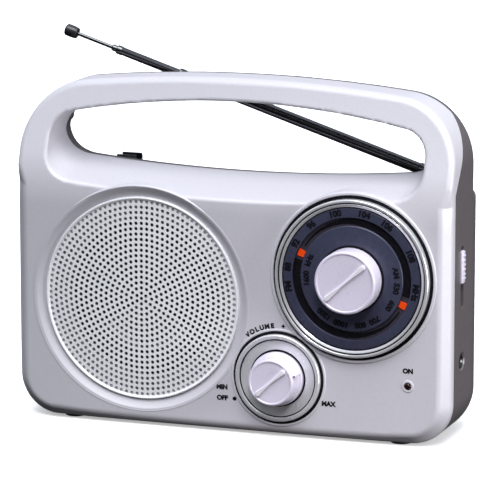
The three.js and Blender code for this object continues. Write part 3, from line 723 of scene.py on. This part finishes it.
def arc_band(name, centre, start, end, inner, outer, front, back, steps=48):
    """A flat band round a centre; inner and outer give the radii at a share of its length."""
    points = []
    for step in range(steps + 1):
        share = step / steps
        angle = start + (end - start) * share
        low, high = inner(share), outer(share)
        for radius, y in ((low, front), (high, front), (high, back), (low, back)):
            points.append((centre[0] + radius * math.cos(angle), y, centre[1] + radius * math.sin(angle)))
    faces = [(0, 1, 2, 3), tuple(4 * steps + k for k in (3, 2, 1, 0))]
    for step in range(steps):
        first, second = 4 * step, 4 * step + 4
        for k in range(4):
            faces.append((first + k, first + (k + 1) % 4, second + (k + 1) % 4, second + k))
    return new_object(name, points, faces)


def tube(name, path, radius, sides=10):
    """A round wire along a path of points, with flat ends."""
    path = [Vector(point) for point in path]
    points = []
    for i, at in enumerate(path):
        along = (path[min(i + 1, len(path) - 1)] - path[max(i - 1, 0)]).normalized()
        side = along.cross(Vector((0, 0, 1)) if abs(along.z) < 0.9 else Vector((0, 1, 0))).normalized()
        other = along.cross(side)
        for k in range(sides):
            angle = 2 * math.pi * k / sides
            points.append(at + radius * (math.cos(angle) * side + math.sin(angle) * other))
    last = len(path) - 1
    faces = [range(sides), range(last * sides, last * sides + sides)]
    for i in range(last):
        for k in range(sides):
            n = (k + 1) % sides
            faces.append((i * sides + k, i * sides + n, (i + 1) * sides + n, (i + 1) * sides + k))
    return new_object(name, points, faces)


def lettering(name, words, depth=0.12):
    """Printed words as one thin mesh. A word is its text, its capital height and its matrix."""
    form = bmesh.new()
    for text, height, place in words:
        curve = bpy.data.curves.new("word", "FONT")
        curve.body = text
        curve.size = height / 0.7
        curve.offset = 0.085 * height
        curve.extrude = depth / 2
        curve.align_x = "CENTER"
        curve.align_y = "CENTER"
        curve.resolution_u = 4
        word = bpy.data.objects.new("word", curve)
        bpy.context.scene.collection.objects.link(word)
        graph = bpy.context.evaluated_depsgraph_get()
        mesh = bpy.data.meshes.new_from_object(word.evaluated_get(graph))
        mesh.transform(place)
        form.from_mesh(mesh)
        bpy.data.objects.remove(word)
        bpy.data.curves.remove(curve)
        bpy.data.meshes.remove(mesh)
    bmesh.ops.scale(form, vec=(MM, MM, MM), verts=form.verts)
    bmesh.ops.translate(form, vec=OFFSET, verts=form.verts)
    mesh = bpy.data.meshes.new(name)
    form.to_mesh(mesh)
    form.free()
    piece = bpy.data.objects.new(name, mesh)
    bpy.context.scene.collection.objects.link(piece)
    return piece


def on_arc(centre, radius, degrees, y):
    """Where a word stands on a circle, its foot towards the centre."""
    turn = math.radians(degrees - 90)
    return Matrix.Translation((0, y, 0)) @ facing(centre, turn) @ Matrix.Translation((0, radius, 0))


# ---------- loudspeaker grille ----------
def grille_holes(rings, pitch):
    holes = [(0, 0)]
    for ring in range(1, rings + 1):
        for i in range(6 * ring):
            angle = math.pi / 2 + 2 * math.pi * i / (6 * ring)
            holes.append((ring * pitch * math.cos(angle), ring * pitch * math.sin(angle)))
    return holes


def add_grille():
    """A slightly domed metal sheet with rings of round holes, and the bright rim that holds it."""
    hole_r = 1.0
    hole_sides = 10
    thickness = 0.5
    holes = grille_holes(18, 2.99)
    loops = [(0, 0, GRILLE_R, 128)] + [(u, v, hole_r, hole_sides) for u, v in holes]
    flat = []
    edges = []
    for u, v, radius, sides in loops:
        start = len(flat)
        for k in range(sides):
            angle = 2 * math.pi * k / sides
            flat.append(Vector((u + radius * math.cos(angle), v + radius * math.sin(angle))))
            edges.append((start + k, start + (k + 1) % sides))
    spots, _, triangles, _, _, _ = delaunay_2d_cdt(flat, edges, [], 0, 1e-6)
    at = np.array([tuple(spot) for spot in spots])
    corners = np.array(triangles)
    middles = at[corners].mean(axis=1)
    keep = np.ones(len(corners), dtype=bool)
    for u, v in holes:
        keep &= np.hypot(middles[:, 0] - u, middles[:, 1] - v) > hole_r * 0.9
    corners = corners[keep]
    crown = 0.7 * (1 - (np.hypot(at[:, 0], at[:, 1]) / GRILLE_R) ** 2)
    front = np.column_stack([at[:, 0] + SPEAKER[0], 2.1 - crown, at[:, 1] + SPEAKER[1]])
    back = front + (0, thickness, 0)
    count = len(at)
    faces = corners.tolist() + (corners[:, ::-1] + count).tolist()
    faces += [(a, b, b + count, a + count) for a, b in edges]
    sheet = new_object("grille_sheet", np.concatenate([front, back]), faces)
    finished(shaded(sheet, 40), "cabinet", "grille_metal", "speaker_grille")
    profile = filleted([(54.9, 2.9, 0), (54.9, 1.7, 0.35), (56.2, 1.1, 0.5), (56.6, 2.9, 0)])
    turned("grille_rim", profile, round_at(SPEAKER), 160, 50, "cabinet", "grille_metal")


# ---------- dial ----------
FM_SCALE = {
    "FM": 190, "88": 173, "92": 151, "96": 129, "100": 105, "104": 79, "106": 57, "108": 24, "MHz": -8,
}
AM_SCALE = {
    "AM": 11, "530": -8, "600": -31, "700": -59, "800": -78, "1000": -103, "1200": -127, "1600": 183,
    "kHz": 160,
}
MARKER_ANGLES = (157, -24)


def add_shade_ring(name, centre, inner, outer, front, back):
    """A black ring in the gap between two rings: painted shade where the gap looks dark."""
    profile = [(inner, front), (outer, front), (outer, back), (inner, back)]
    turned(name, profile, round_at(centre), 144, 40, "cabinet", "dial_print", slot="black_plastic")


def add_dial():
    axis = round_at(DIAL)
    # Black rings in the dial's gaps and round the tuning knob's foot are painted shade.
    add_shade_ring("dial_shade_outer", DIAL, BEZEL_R, BEZEL_GAP_R, 0, 1.5)
    add_shade_ring("dial_shade_middle", DIAL, 40.7, 41.5, -3.2, -0.4)
    add_shade_ring("dial_shade_inner", DIAL, 38.6, 39.2, -3.0, -1.6)
    add_shade_ring("tuning_knob_shade", DIAL, 16.5, 18.4, -3.3, -3.0)
    outer = filleted([(41.5, -0.3, 0), (41.5, -4.1, 0.5), (BEZEL_R, -4.1, 0.8), (BEZEL_R, -0.3, 0)], 8)
    turned("dial_bezel_ring", outer, axis, 160, 50, "cabinet", "chrome_trim", "dial_bezel")
    slope = [(36.5, -0.3, 0), (36.5, -1.5, 0), (38.9, -1.5, 0), (38.9, -2.7, 0.2)]
    slope += [(40.8, -3.7, 0.3), (40.8, -0.3, 0)]
    turned("dial_bezel_slope", filleted(slope), axis, 160, 50, "cabinet", "chrome_trim")
    low, high = WINDOW_R
    plate = filleted([(high, -1.8, 0), (high, -3, 0.3), (DIAL_PLATE_R, -3, 0.3), (DIAL_PLATE_R, -1.8, 0)])
    turned("dial_scale_ring", plate, axis, 160, 50, "cabinet", "dial_face", "dial_plate")
    hub = filleted([(5, -1.8, 0), (5, -3, 0), (low, -3, 0.6), (low, -1.8, 0)])
    turned("dial_centre", hub, axis, 144, 50, "cabinet", "dial_face", "dial_plate")
    glass = filleted([(low, -1.9, 0), (low, -2.5, 0), (high, -2.5, 0), (high, -1.9, 0)])
    turned("dial_window", glass, axis, 144, 50, "cabinet", "window_clear", "dial_plate")
    words = [(text, 3.3, on_arc(DIAL, 36, angle, -3)) for text, angle in FM_SCALE.items()]
    words += [(text, 2.9, on_arc(DIAL, 25.3, angle, -3)) for text, angle in AM_SCALE.items()]
    finished(lettering("dial_numbers", words), "cabinet", "dial_print")


def add_pointer():
    """The disc that turns behind the dial window: two black bands that widen up to an orange mark."""
    disc = filleted([(3.3, -1.3, 0), (35.9, -1.3, 0), (35.9, 0, 0), (6, 0, 0), (6, 3, 0), (3.3, 3, 0)])
    turned("pointer_plate", disc, round_at(DIAL), 128, 50, "tuning", "pointer_face", "pointer_disc")
    middle = sum(WINDOW_R) / 2
    for index, mark in enumerate(MARKER_ANGLES):
        start = math.radians(mark - 8)
        end = math.radians(mark - 172)

        def half(share):
            return 0.35 + 2.0 * min(1, share / 0.55) ** 1.3

        band = arc_band(
            f"pointer_band_{index}", DIAL, start, end,
            lambda share: middle - half(share), lambda share: middle + half(share), -1.5, -1.2,
        )
        finished(shaded(band), "tuning", "dial_print")
        spread = math.radians(3.4)
        spot = arc_band(
            f"pointer_mark_{index}", DIAL, math.radians(mark) - spread, math.radians(mark) + spread,
            lambda share: middle - 1.9, lambda share: middle + 1.9, -1.75, -1.2, 8,
        )
        finished(shaded(spot), "tuning", "marker_orange")


def grip_ridge(name, centre, reach, low, high):
    """The ridge across a knob, narrow in the middle and wide at its round ends."""
    end_r = 1.35
    waist_r = 0.5
    side = []
    for step in range(25):
        along = -reach + 2 * reach * step / 24
        side.append((along, waist_r + (end_r - waist_r) * abs(along / reach) ** 1.3))
    turns = np.linspace(math.pi / 2, -math.pi / 2, 9)[1:-1]
    far_end = [(reach + end_r * math.cos(a), end_r * math.sin(a)) for a in turns]
    near_end = [(-x, -y) for x, y in far_end]
    outline = side + far_end + [(x, -y) for x, y in reversed(side)] + near_end
    return softened(prism(name, outline, low, high, facing(centre, RIDGE_ANGLE)), 0.3, 3)


def add_tuning_knob():
    r = TUNING_KNOB_R
    face = -14.75
    rim = -15.1
    foot = -3.6
    corners = [
        (0, face, 0), (r - 1.9, face, 0.5), (r - 1.5, rim, 0.3), (r - 0.1, rim, 1.1),
        (r + 0.1, foot, 0.4), (0, foot, 0),
    ]
    turned("tuning_knob_cap", filleted(corners), round_at(DIAL), 128, 60,
           "tuning", "knob_silver", "tuning_knob")
    # The ridge takes a lighter copy of the knob colour, a painted highlight.
    ridge = grip_ridge("tuning_knob_ridge", DIAL, r - 3.6, -face - 0.3, 16)
    finished(shaded(ridge, 40), "tuning", "knob_ridge_highlight")


# ---------- volume control ----------
def add_volume():
    axis = round_at(VOLUME)
    r = VOLUME_RING_R
    # Black rings in the volume control's gaps are painted shade.
    add_shade_ring("volume_shade_outer", VOLUME, r, VOLUME_GAP_R, 0, 1.5)
    add_shade_ring("volume_shade_rim", VOLUME, r - 3.1, r - 2.35, -1.95, -1.5)
    add_shade_ring("volume_shade_inner", VOLUME, 14.9, 15.75, -1.2, -0.6)
    corners = [
        (4.2, -0.3, 0), (4.2, -0.7, 0), (15.7, -0.7, 0), (15.9, -1.3, 0.15),
        (r - 2.6, -1.7, 0.2), (r - 2.2, -2.8, 0.5), (r, -2.8, 0.9), (r, -0.3, 0),
    ]
    turned("volume_dish", filleted(corners), axis, 144, 40, "cabinet", "satin_trim", "volume_ring")
    cap_r = VOLUME_KNOB_R
    face = -13.75
    corners = [
        (0, face, 0), (cap_r - 1.7, face, 0.4), (cap_r - 1.4, -14.1, 0.25), (cap_r - 0.1, -14.1, 0.9),
        (cap_r + 0.5, -4.6, 0.5), (VOLUME_BASE_R, -4.1, 0.6), (VOLUME_BASE_R, -1.8, 0.3), (0, -1.8, 0),
    ]
    turned("volume_knob_cap", filleted(corners), axis, 128, 60, "volume", "knob_silver", "volume_knob")
    # The ridge takes a lighter copy of the knob colour, a painted highlight.
    ridge = grip_ridge("volume_knob_ridge", VOLUME, cap_r - 3.2, -face - 0.3, 15)
    finished(shaded(ridge, 40), "volume", "knob_ridge_highlight")
    mark_angle = math.radians(18)
    rib_from, rib_to, half = cap_r - 1.5, VOLUME_BASE_R - 0.1, 0.7
    outline = [(rib_from, -half), (rib_to, -half), (rib_to, half), (rib_from, half)]
    rib = softened(prism("volume_knob_rib", outline, 2.2, 13.4, facing(VOLUME, mark_angle)), 0.35, 3)
    finished(shaded(rib, 40), "volume", "knob_silver")
    dot_centre = (VOLUME[0] + 14.2 * math.cos(mark_angle), VOLUME[1] + 14.2 * math.sin(mark_angle))
    profile = [(0, -13.55), (0.5, -13.5), (0.5, -13.2), (0, -13.2)]
    turned("volume_pointer_dot", profile, round_at(dot_centre), 20, 32, "volume", "dial_print")


def add_face_print():
    size = 2.5
    words = []
    title = "VOLUME +"
    for i, letter in enumerate(title):
        degrees = 128 - i * 6.2
        words.append((letter, size, on_arc(VOLUME, 28.6, degrees, -0.05)))
    flat = {"MIN": (-3.6, 24.2), "OFF": (-3.4, 18.1), "MAX": (57.6, 19.4), "ON": (102.4, 41)}
    proud = Matrix.Translation((0, -0.05, 0))
    words += [(text, size, proud @ facing(place)) for text, place in flat.items()]
    finished(lettering("face_labels", words), "cabinet", "dial_print")
    turned("off_dot", [(0, -0.1), (1.15, -0.08), (1.15, 0.1), (0, 0.1)], round_at((3.7, 18.2)), 24, 32,
           "cabinet", "dial_print")


# ---------- indicator and side controls ----------
def add_led():
    profile = filleted([(0, -0.75, 0), (LED_R, -0.6, 0.9), (LED_R, 6, 0), (0, 6, 0)])
    turned("led_lens", profile, round_at(LED), 32, 50, "cabinet", "led_window", "power_led")


def add_switch_lever():
    """A sliding lever with grip ribs, on a flange behind the slot."""
    half = SWITCH_HALF_SLOT - GAP
    low, high = SWITCH_LEVER
    grip = block("band_switch_grip", (121.5, 126.2), (SWITCH_Y - half, SWITCH_Y + half), (low, high))
    lever = softened(grip, 0.9, 4)
    ribs = []
    for i in range(6):
        z = (low + high) / 2 - 6.25 + 2.5 * i
        rib = block("rib", (124, 126.6), (SWITCH_Y - half + 0.5, SWITCH_Y + half - 0.5), (z - 0.5, z + 0.5))
        ribs.append(softened(rib, 0.25, 2))
    flange = block("flange", (119.6, 122.2), (SWITCH_Y - 4.5, SWITCH_Y + 4.5), (low - 1.5, high + 1.5))
    combine(lever, "UNION", flange, *ribs)
    finished(shaded(lever, 40), "band_switch", "knob_silver", "band_switch_lever")


def add_jack():
    axis = Matrix.Translation((0, *JACK_PLACE)) @ ALONG_X
    y, z = JACK_PLACE
    face = HALF_WIDTH - 0.4
    corners = [(1.9, 110, 0), (JACK_R, 110, 0), (JACK_R, face, 0.4), (2.9, face, 0.3), (1.9, face - 1, 0)]
    barrel = lathe("jack_barrel", filleted(corners), axis, 40)
    frame_box = softened(block("jack_frame", (109, 119.5), (y - 5, y + 5), (z - 5, z + 5)), 0.4, 2)
    bore = hole("jack_bore", 1.85, 105, 121, axis, 32)
    combine(frame_box, "DIFFERENCE", bore)
    finished(shaded(frame_box), "cabinet", "black_plastic", "headphone_jack")
    finished(shaded(barrel, 40), "cabinet", "black_plastic", "headphone_jack")


# ---------- back of the case ----------
def add_battery_door():
    """The lid, with a thumb recess and grip ribs at its top edge and a snap on its inside."""
    x0, x1 = BAY["x"]
    z0, z1 = BAY["z"]
    middle = (x0 + x1) / 2
    lid = block("battery_lid_panel", (x0 + GAP, x1 - GAP), (DEPTH - 2.2, DEPTH), (z0 + GAP, z1 - GAP))
    softened(lid, 0.4, 3)
    snap = block("snap", (middle - 8, middle + 8), (DEPTH - 5.5, DEPTH - 1), (z1 - 3, z1 - 1.4))
    softened(snap, 0.4, 2)
    outline = [(middle - 11, z1 - 9), (middle + 11, z1 - 9), (middle + 8, z1 - 4), (middle - 8, z1 - 4)]
    thumb = softened(prism("thumb", [(x, -z) for x, z in outline], DEPTH - 1.2, DEPTH + 5, ALONG_Y), 1.0, 4)
    combine(lid, "UNION", snap)
    combine(lid, "DIFFERENCE", thumb)
    ribs = []
    for i in range(4):
        z = z1 - 13 - 2.6 * i
        half = 14 - 2 * i
        rib = block("rib", (middle - half, middle + half), (DEPTH - 1, DEPTH + 0.5), (z - 0.6, z + 0.6))
        ribs.append(softened(rib, 0.35, 2))
    combine(lid, "UNION", *ribs)
    finished(shaded(lid, 40), "battery_lid", "grey_casing", "battery_door")


def add_inlet():
    """A figure-eight mains socket."""
    x, z, front = INLET["x"], INLET["z"], INLET["front"]
    half_width, half_height = INLET["half_width"], INLET["half_height"]
    y = (front, DEPTH)
    housing = block("mains_socket", (x - half_width, x + half_width), y, (z - half_height, z + half_height))
    softened(housing, 0.5, 3)
    socket = [hole("lobe", 4.4, front + 4, DEPTH + 1, round_at((x + side * 3.8, z)), 48) for side in (-1, 1)]
    socket.append(block("waist", (x - 3.8, x + 3.8), (front + 4, DEPTH + 1), (z - 3.3, z + 3.3)))
    bores = [hole("bore", 1.45, front - 1, front + 5, round_at((x + side * 4.3, z)), 24) for side in (-1, 1)]
    combine(housing, "DIFFERENCE", *socket, *bores)
    finished(shaded(housing, 40), "cabinet", "black_plastic", "mains_inlet")


def add_springs():
    """Conical battery springs, one at each end of the bay."""
    cell_y = BAY["y"] + 13.1
    rows = {
        "lower": (BAY["x"][0] + 0.8, 1, BAY["z"][0] + 13.3),
        "upper": (BAY["x"][1] - 0.8, -1, BAY["z"][1] - 13.3),
    }
    for name, (x, direction, z) in rows.items():
        path = []
        for step in range(101):
            turn = 2.5 * step / 100
            angle = 2 * math.pi * turn
            r = 6.5 - 0.8 * turn
            path.append((x + turn * 1.3 * direction, cell_y + r * math.cos(angle), z + r * math.sin(angle)))
        spring = tube(f"battery_coil_{name}", path, 0.4)
        finished(shaded(spring, 50), "cabinet", "steel", f"battery_spring_{name}")


def add_feet():
    for name in ("front_left", "front_right", "rear_left", "rear_right"):
        node = f"foot_{name}"
        low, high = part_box(node)
        centre = ((low + high) / 2 - OFFSET) / MM
        top = (high.z - OFFSET.z) / MM
        profile = filleted([(0, -1.5, 0), (4.2, -1.5, 0.2), (6, -1.5, 0.6), (6, top, 0), (0, top, 0)])
        turned(f"pad_{name}", profile, Matrix.Translation((centre.x, centre.y, 0)), 40, 40,
               "cabinet", "rubber", node)


def add_screws():
    """Pan-head screws with a cross recess, at the bottom of their wells."""
    for name, centre in ALL_SCREWS.items():
        floor = WELL_FLOORS[name in HANDLE_SCREWS]
        seat = floor + GAP
        profile = [(0, floor - 14), (0.4, floor - 14), (1.35, floor - 12.5), (1.35, seat)]
        profile += [(2.8, seat), (2.8, seat + 1.3), (2.55, seat + 1.8), (1.9, seat + 2.1), (0, seat + 2.25)]
        screw = lathe(f"cross_screw_{name}", profile, round_at(centre), 32)
        x, z = centre
        slots = [
            block("slot", (x - 1.7, x + 1.7), (seat + 1, seat + 4), (z - 0.35, z + 0.35)),
            block("slot", (x - 0.35, x + 0.35), (seat + 1, seat + 4), (z - 1.7, z + 1.7)),
        ]
        combine(screw, "DIFFERENCE", *slots)
        finished(shaded(screw, 40), "cabinet", "steel", f"screw_{name}")


# ---------- aerial ----------
def add_aerial_base():
    """The turning foot of the aerial: a turret, two cheeks and the pin through them."""
    x, y, z = AERIAL
    upright = Matrix.Translation((x, y, 0))
    stem = [(0, 124.5, 0), (4.5, 124.5, 0), (4.5, 131.3, 0), (6, 131.3, 0), (6, 132.6, 0.5), (0, 132.6, 0)]
    swivel = lathe("aerial_turret", filleted(stem), upright, 48)
    arch = [(-4, 132), (4, 132)]
    arch += [(4 * math.cos(a), z + 4 * math.sin(a)) for a in np.linspace(0, math.pi, 17)]
    for side in (-1, 1):
        centre = y + 3 * side
        outline = [(x + u, -v) for u, v in arch]
        cheek = softened(prism("cheek", outline, centre - 1, centre + 1, ALONG_Y), 0.3, 2)
        combine(swivel, "UNION", cheek)
    finished(shaded(swivel, 40), "aerial_base", "aerial_metal", "aerial_swivel")
    head, neck, tail = y - 5, y - 4.2, y + 4.6
    pin = [(0, head, 0), (2.2, head, 0.35), (2.2, neck, 0), (1.1, neck, 0), (1.1, tail, 0.2), (0, tail, 0)]
    turned("aerial_rivet", filleted(pin), round_at((x, z)), 28, 40,
           "aerial_base", "steel", "aerial_pivot_pin")


def aerial_section(name, start, end, outer, inner):
    """A tube with a rolled ferrule at its open end."""
    ferrule = outer + 0.22
    corners = [
        (0, start, 0), (outer, start, 0.3), (outer, end - 3.6, 0), (ferrule, end - 3.3, 0.1),
        (ferrule, end - 0.5, 0.3), (inner + 0.15, end, 0.1), (inner, end - 0.6, 0), (inner, start + 2, 0),
        (0, start + 2, 0),
    ]
    return lathe(name, filleted(corners, 3), ALONG_AERIAL, 32)


def add_aerial():
    add_aerial_base()
    disc = filleted([(0, -1.7, 0), (4, -1.7, 0.4), (4, 1.7, 0.4), (0, 1.7, 0)])
    eye = lathe("aerial_eye", disc, ALONG_AERIAL @ ALONG_Y, 40)
    outline = [(-2.6, -1.7), (2.6, -1.7), (2.6, 1.7), (-2.6, 1.7)]
    blade = softened(prism("blade", outline, 0, 9, ALONG_AERIAL), 0.5, 3)
    sleeve = filleted([(0, 7, 0), (3.6, 7.3, 0.5), (3.6, 11.9, 0.4), (0, 11.9, 0)])
    combine(eye, "UNION", blade, lathe("sleeve", sleeve, ALONG_AERIAL, 32))
    finished(shaded(eye, 40), "aerial_arm", "aerial_metal", "aerial_knuckle")
    sections = [
        ("aerial_section_1", 12, 158.7, 3.1, 2.6, "aerial_arm", "aerial_tube_1"),
        ("aerial_section_2", 50, 197.5, 2.3, 1.85, "aerial_second", "aerial_tube_2"),
        ("aerial_section_3", 55, 200.5, 1.6, 1.3, "aerial_third", "aerial_tube_3"),
    ]
    for name, start, end, outer, inner, body, node in sections:
        section = aerial_section(name, start, end, outer, inner)
        finished(shaded(section, 40), body, "aerial_metal", node)
    turned("aerial_end_rod", [(0, 82), (1.05, 82), (1.05, 223.4), (0, 223.4)], ALONG_AERIAL, 24, 40,
           "aerial_end", "aerial_metal", "aerial_rod")
    cap = filleted([(0, 222.2, 0), (3.0, 222.2, 0.5), (3.4, 224.5, 0.6), (3.4, 229.6, 1.3), (0, 229.6, 0)])
    turned("aerial_cap", cap, ALONG_AERIAL, 36, 50, "aerial_end", "black_plastic", "aerial_tip")


def add_clip():
    """The U-shaped rest for the folded aerial."""
    y, z = AERIAL[1:]
    channel_r = 3.8
    mouth = 3.4
    meet = math.asin(math.sqrt(channel_r**2 - mouth**2) / channel_r)
    turns = np.linspace(math.pi - meet, 2 * math.pi + meet, 25)
    arc = [(y + channel_r * math.cos(a), z + channel_r * math.sin(a)) for a in turns]
    outline = [(y + 5.7, 131.3), (y + 5.7, 139.4), (y + 4.8, 140.8), (y + mouth, 140.8)]
    outline += arc[::-1]
    outline += [(y - mouth, 140.8), (y - 4.8, 140.8), (y - 5.7, 139.4), (y - 5.7, 131.3)]
    clip = softened(prism("aerial_rest", outline, -83.6, -71.9, ACROSS), 0.5, 3)
    finished(shaded(clip, 40), "cabinet", "black_plastic", "aerial_clip")


# ---------- materials ----------
def noise(tree, scale, stretch=(1, 1, 1), detail=4):
    """A noise value over the object's own coordinates, which are metres."""
    place = tree.nodes.new("ShaderNodeTexCoord")
    mapping = tree.nodes.new("ShaderNodeMapping")
    mapping.inputs["Scale"].default_value = stretch
    texture = tree.nodes.new("ShaderNodeTexNoise")
    set_inputs(texture, {"Scale": scale, "Detail": detail})
    tree.links.new(place.outputs["Object"], mapping.inputs["Vector"])
    tree.links.new(mapping.outputs["Vector"], texture.inputs["Vector"])
    return texture.outputs["Fac"]


def surface(name, dark, light, metallic, roughness, mottle, grain, depth, stretch=(1, 1, 1)):
    """A material that varies between two colours, with uneven gloss and a fine grain in relief."""
    material = bpy.data.materials.new(name)
    material.use_nodes = True
    tree = material.node_tree
    shader = tree.nodes["Principled BSDF"]
    shader.inputs["Metallic"].default_value = metallic
    ramp = tree.nodes.new("ShaderNodeValToRGB")
    ramp.color_ramp.elements[0].position = 0.3
    ramp.color_ramp.elements[0].color = (*dark, 1)
    ramp.color_ramp.elements[1].position = 0.7
    ramp.color_ramp.elements[1].color = (*light, 1)
    tree.links.new(noise(tree, mottle, stretch), ramp.inputs["Fac"])
    tree.links.new(ramp.outputs["Color"], shader.inputs["Base Color"])
    gloss = tree.nodes.new("ShaderNodeMapRange")
    limits = {"To Min": roughness * 0.88, "To Max": roughness * 1.12}
    set_inputs(gloss, {"From Min": 0.3, "From Max": 0.7, **limits})
    tree.links.new(noise(tree, mottle * 0.37, stretch), gloss.inputs["Value"])
    tree.links.new(gloss.outputs["Result"], shader.inputs["Roughness"])
    relief = tree.nodes.new("ShaderNodeBump")
    set_inputs(relief, {"Strength": 0.6, "Distance": depth})
    tree.links.new(noise(tree, grain, stretch, 2), relief.inputs["Height"])
    tree.links.new(relief.outputs["Normal"], shader.inputs["Normal"])
    return material


# Each row: dark and light colour, metallic, roughness, mottle and grain scale, relief depth in metres,
# and for a few the stretch of the pattern.
FINISHES = {
    "silver_casing": ((0.58, 0.565, 0.615), (0.61, 0.595, 0.645), 0.08, 0.44, 900, 2600, 0.00001),
    "grey_casing": ((0.125, 0.112, 0.118), (0.145, 0.13, 0.137), 0.15, 0.34, 700, 1500, 0.00003),
    "black_plastic": ((0.012, 0.012, 0.014), (0.02, 0.02, 0.023), 0, 0.3, 400, 1200, 0.00002),
    "grille_metal": ((0.9, 0.9, 0.93), (0.95, 0.95, 0.97), 0.1, 0.3, 700, 1800, 0.00002),
    "chrome_trim": ((0.76, 0.76, 0.79), (0.82, 0.82, 0.84), 0.55, 0.16, 300, 900, 0.000004),
    "satin_trim": ((0.7, 0.7, 0.73), (0.73, 0.73, 0.76), 0.4, 0.25, 500, 300, 0.000002),
    "aerial_metal": ((0.1, 0.1, 0.105), (0.12, 0.12, 0.125), 1, 0.14, 600, 900, 0.000003),
    "dial_face": ((0.04, 0.043, 0.078), (0.05, 0.053, 0.09), 0.1, 0.3, 400, 1600, 0.00001),
    "pointer_face": ((0.045, 0.04, 0.06), (0.06, 0.05, 0.07), 0, 0.4, 400, 1600, 0.00001),
    # One near-black for printed marks and for the painted shade rings in the dial and volume gaps.
    "dial_print": ((0.004, 0.004, 0.006), (0.008, 0.008, 0.012), 0, 0.5, 900, 2000, 0.00001),
    "marker_orange": ((0.95, 0.07, 0.002), (1, 0.1, 0.005), 0, 0.4, 900, 2000, 0.00001),
    "knob_silver": ((0.67, 0.63, 0.75), (0.69, 0.65, 0.77), 0.05, 0.3, 500, 300, 0.000002),
    # A lighter copy of the knob colour for the grip ridges: painted highlight.
    "knob_ridge_highlight": ((0.86, 0.85, 0.92), (0.9, 0.89, 0.95), 0.15, 0.25, 900, 2400, 0.000004),
    "led_window": ((0.012, 0.003, 0.003), (0.02, 0.005, 0.005), 0, 0.12, 900, 1800, 0.00001),
    "steel": ((0.45, 0.45, 0.47), (0.58, 0.58, 0.6), 1, 0.3, 700, 1500, 0.00001, (1, 1, 6)),
    "brass": ((0.6, 0.42, 0.16), (0.72, 0.52, 0.22), 1, 0.25, 600, 1500, 0.00001),
    "cone_paper": ((0.012, 0.012, 0.011), (0.03, 0.028, 0.026), 0, 0.9, 900, 1200, 0.0001),
    "ferrite": ((0.035, 0.035, 0.037), (0.07, 0.07, 0.072), 0.3, 0.55, 900, 1400, 0.00005),
    "circuit_board": ((0.02, 0.08, 0.035), (0.03, 0.12, 0.05), 0, 0.4, 500, 1200, 0.00003),
    "copper": ((0.5, 0.17, 0.07), (0.68, 0.28, 0.12), 0.9, 0.35, 1500, 1800, 0.0001, (8, 1, 1)),
    "rubber": ((0.012, 0.012, 0.012), (0.022, 0.022, 0.022), 0, 0.8, 700, 1800, 0.00008),
    "clear_plastic": ((0.62, 0.6, 0.55), (0.72, 0.7, 0.66), 0, 0.25, 500, 1200, 0.00002),
    "window_clear": ((0.01, 0.01, 0.012), (0.014, 0.014, 0.016), 0, 0.08, 300, 900, 0.000004),
}


def make_looks():
    looks = {name: surface(name, *finish) for name, finish in FINISHES.items()}
    shaders = {name: look.node_tree.nodes["Principled BSDF"] for name, look in looks.items()}
    set_inputs(shaders["window_clear"], {"Alpha": 0.06})
    set_inputs(shaders["dial_print"], {"Specular IOR Level": 0.12})
    # The orange mark glows faintly: painted light, as it is no lamp.
    set_inputs(shaders["marker_orange"], {"Emission Color": (1, 0.03, 0, 1), "Emission Strength": 0.15})
    return looks


def finish_nodes():
    """Gives every CAD node that still shows the material of its slot."""
    for part in frame["record"]["subparts"]:
        node = frame["nodes"][part["node"]]
        node.data.materials.clear()
        node.data.materials.append(LOOKS[part["material_slot"]])


add_camera()
add_studio()
add_floor()
LOOKS = make_looks()
finish_nodes()
add_casing()
add_grille()
add_dial()
add_pointer()
add_tuning_knob()
add_volume()
add_face_print()
add_led()
add_switch_lever()
add_jack()
add_battery_door()
add_inlet()
add_springs()
add_feet()
add_screws()
add_aerial()
add_clip()
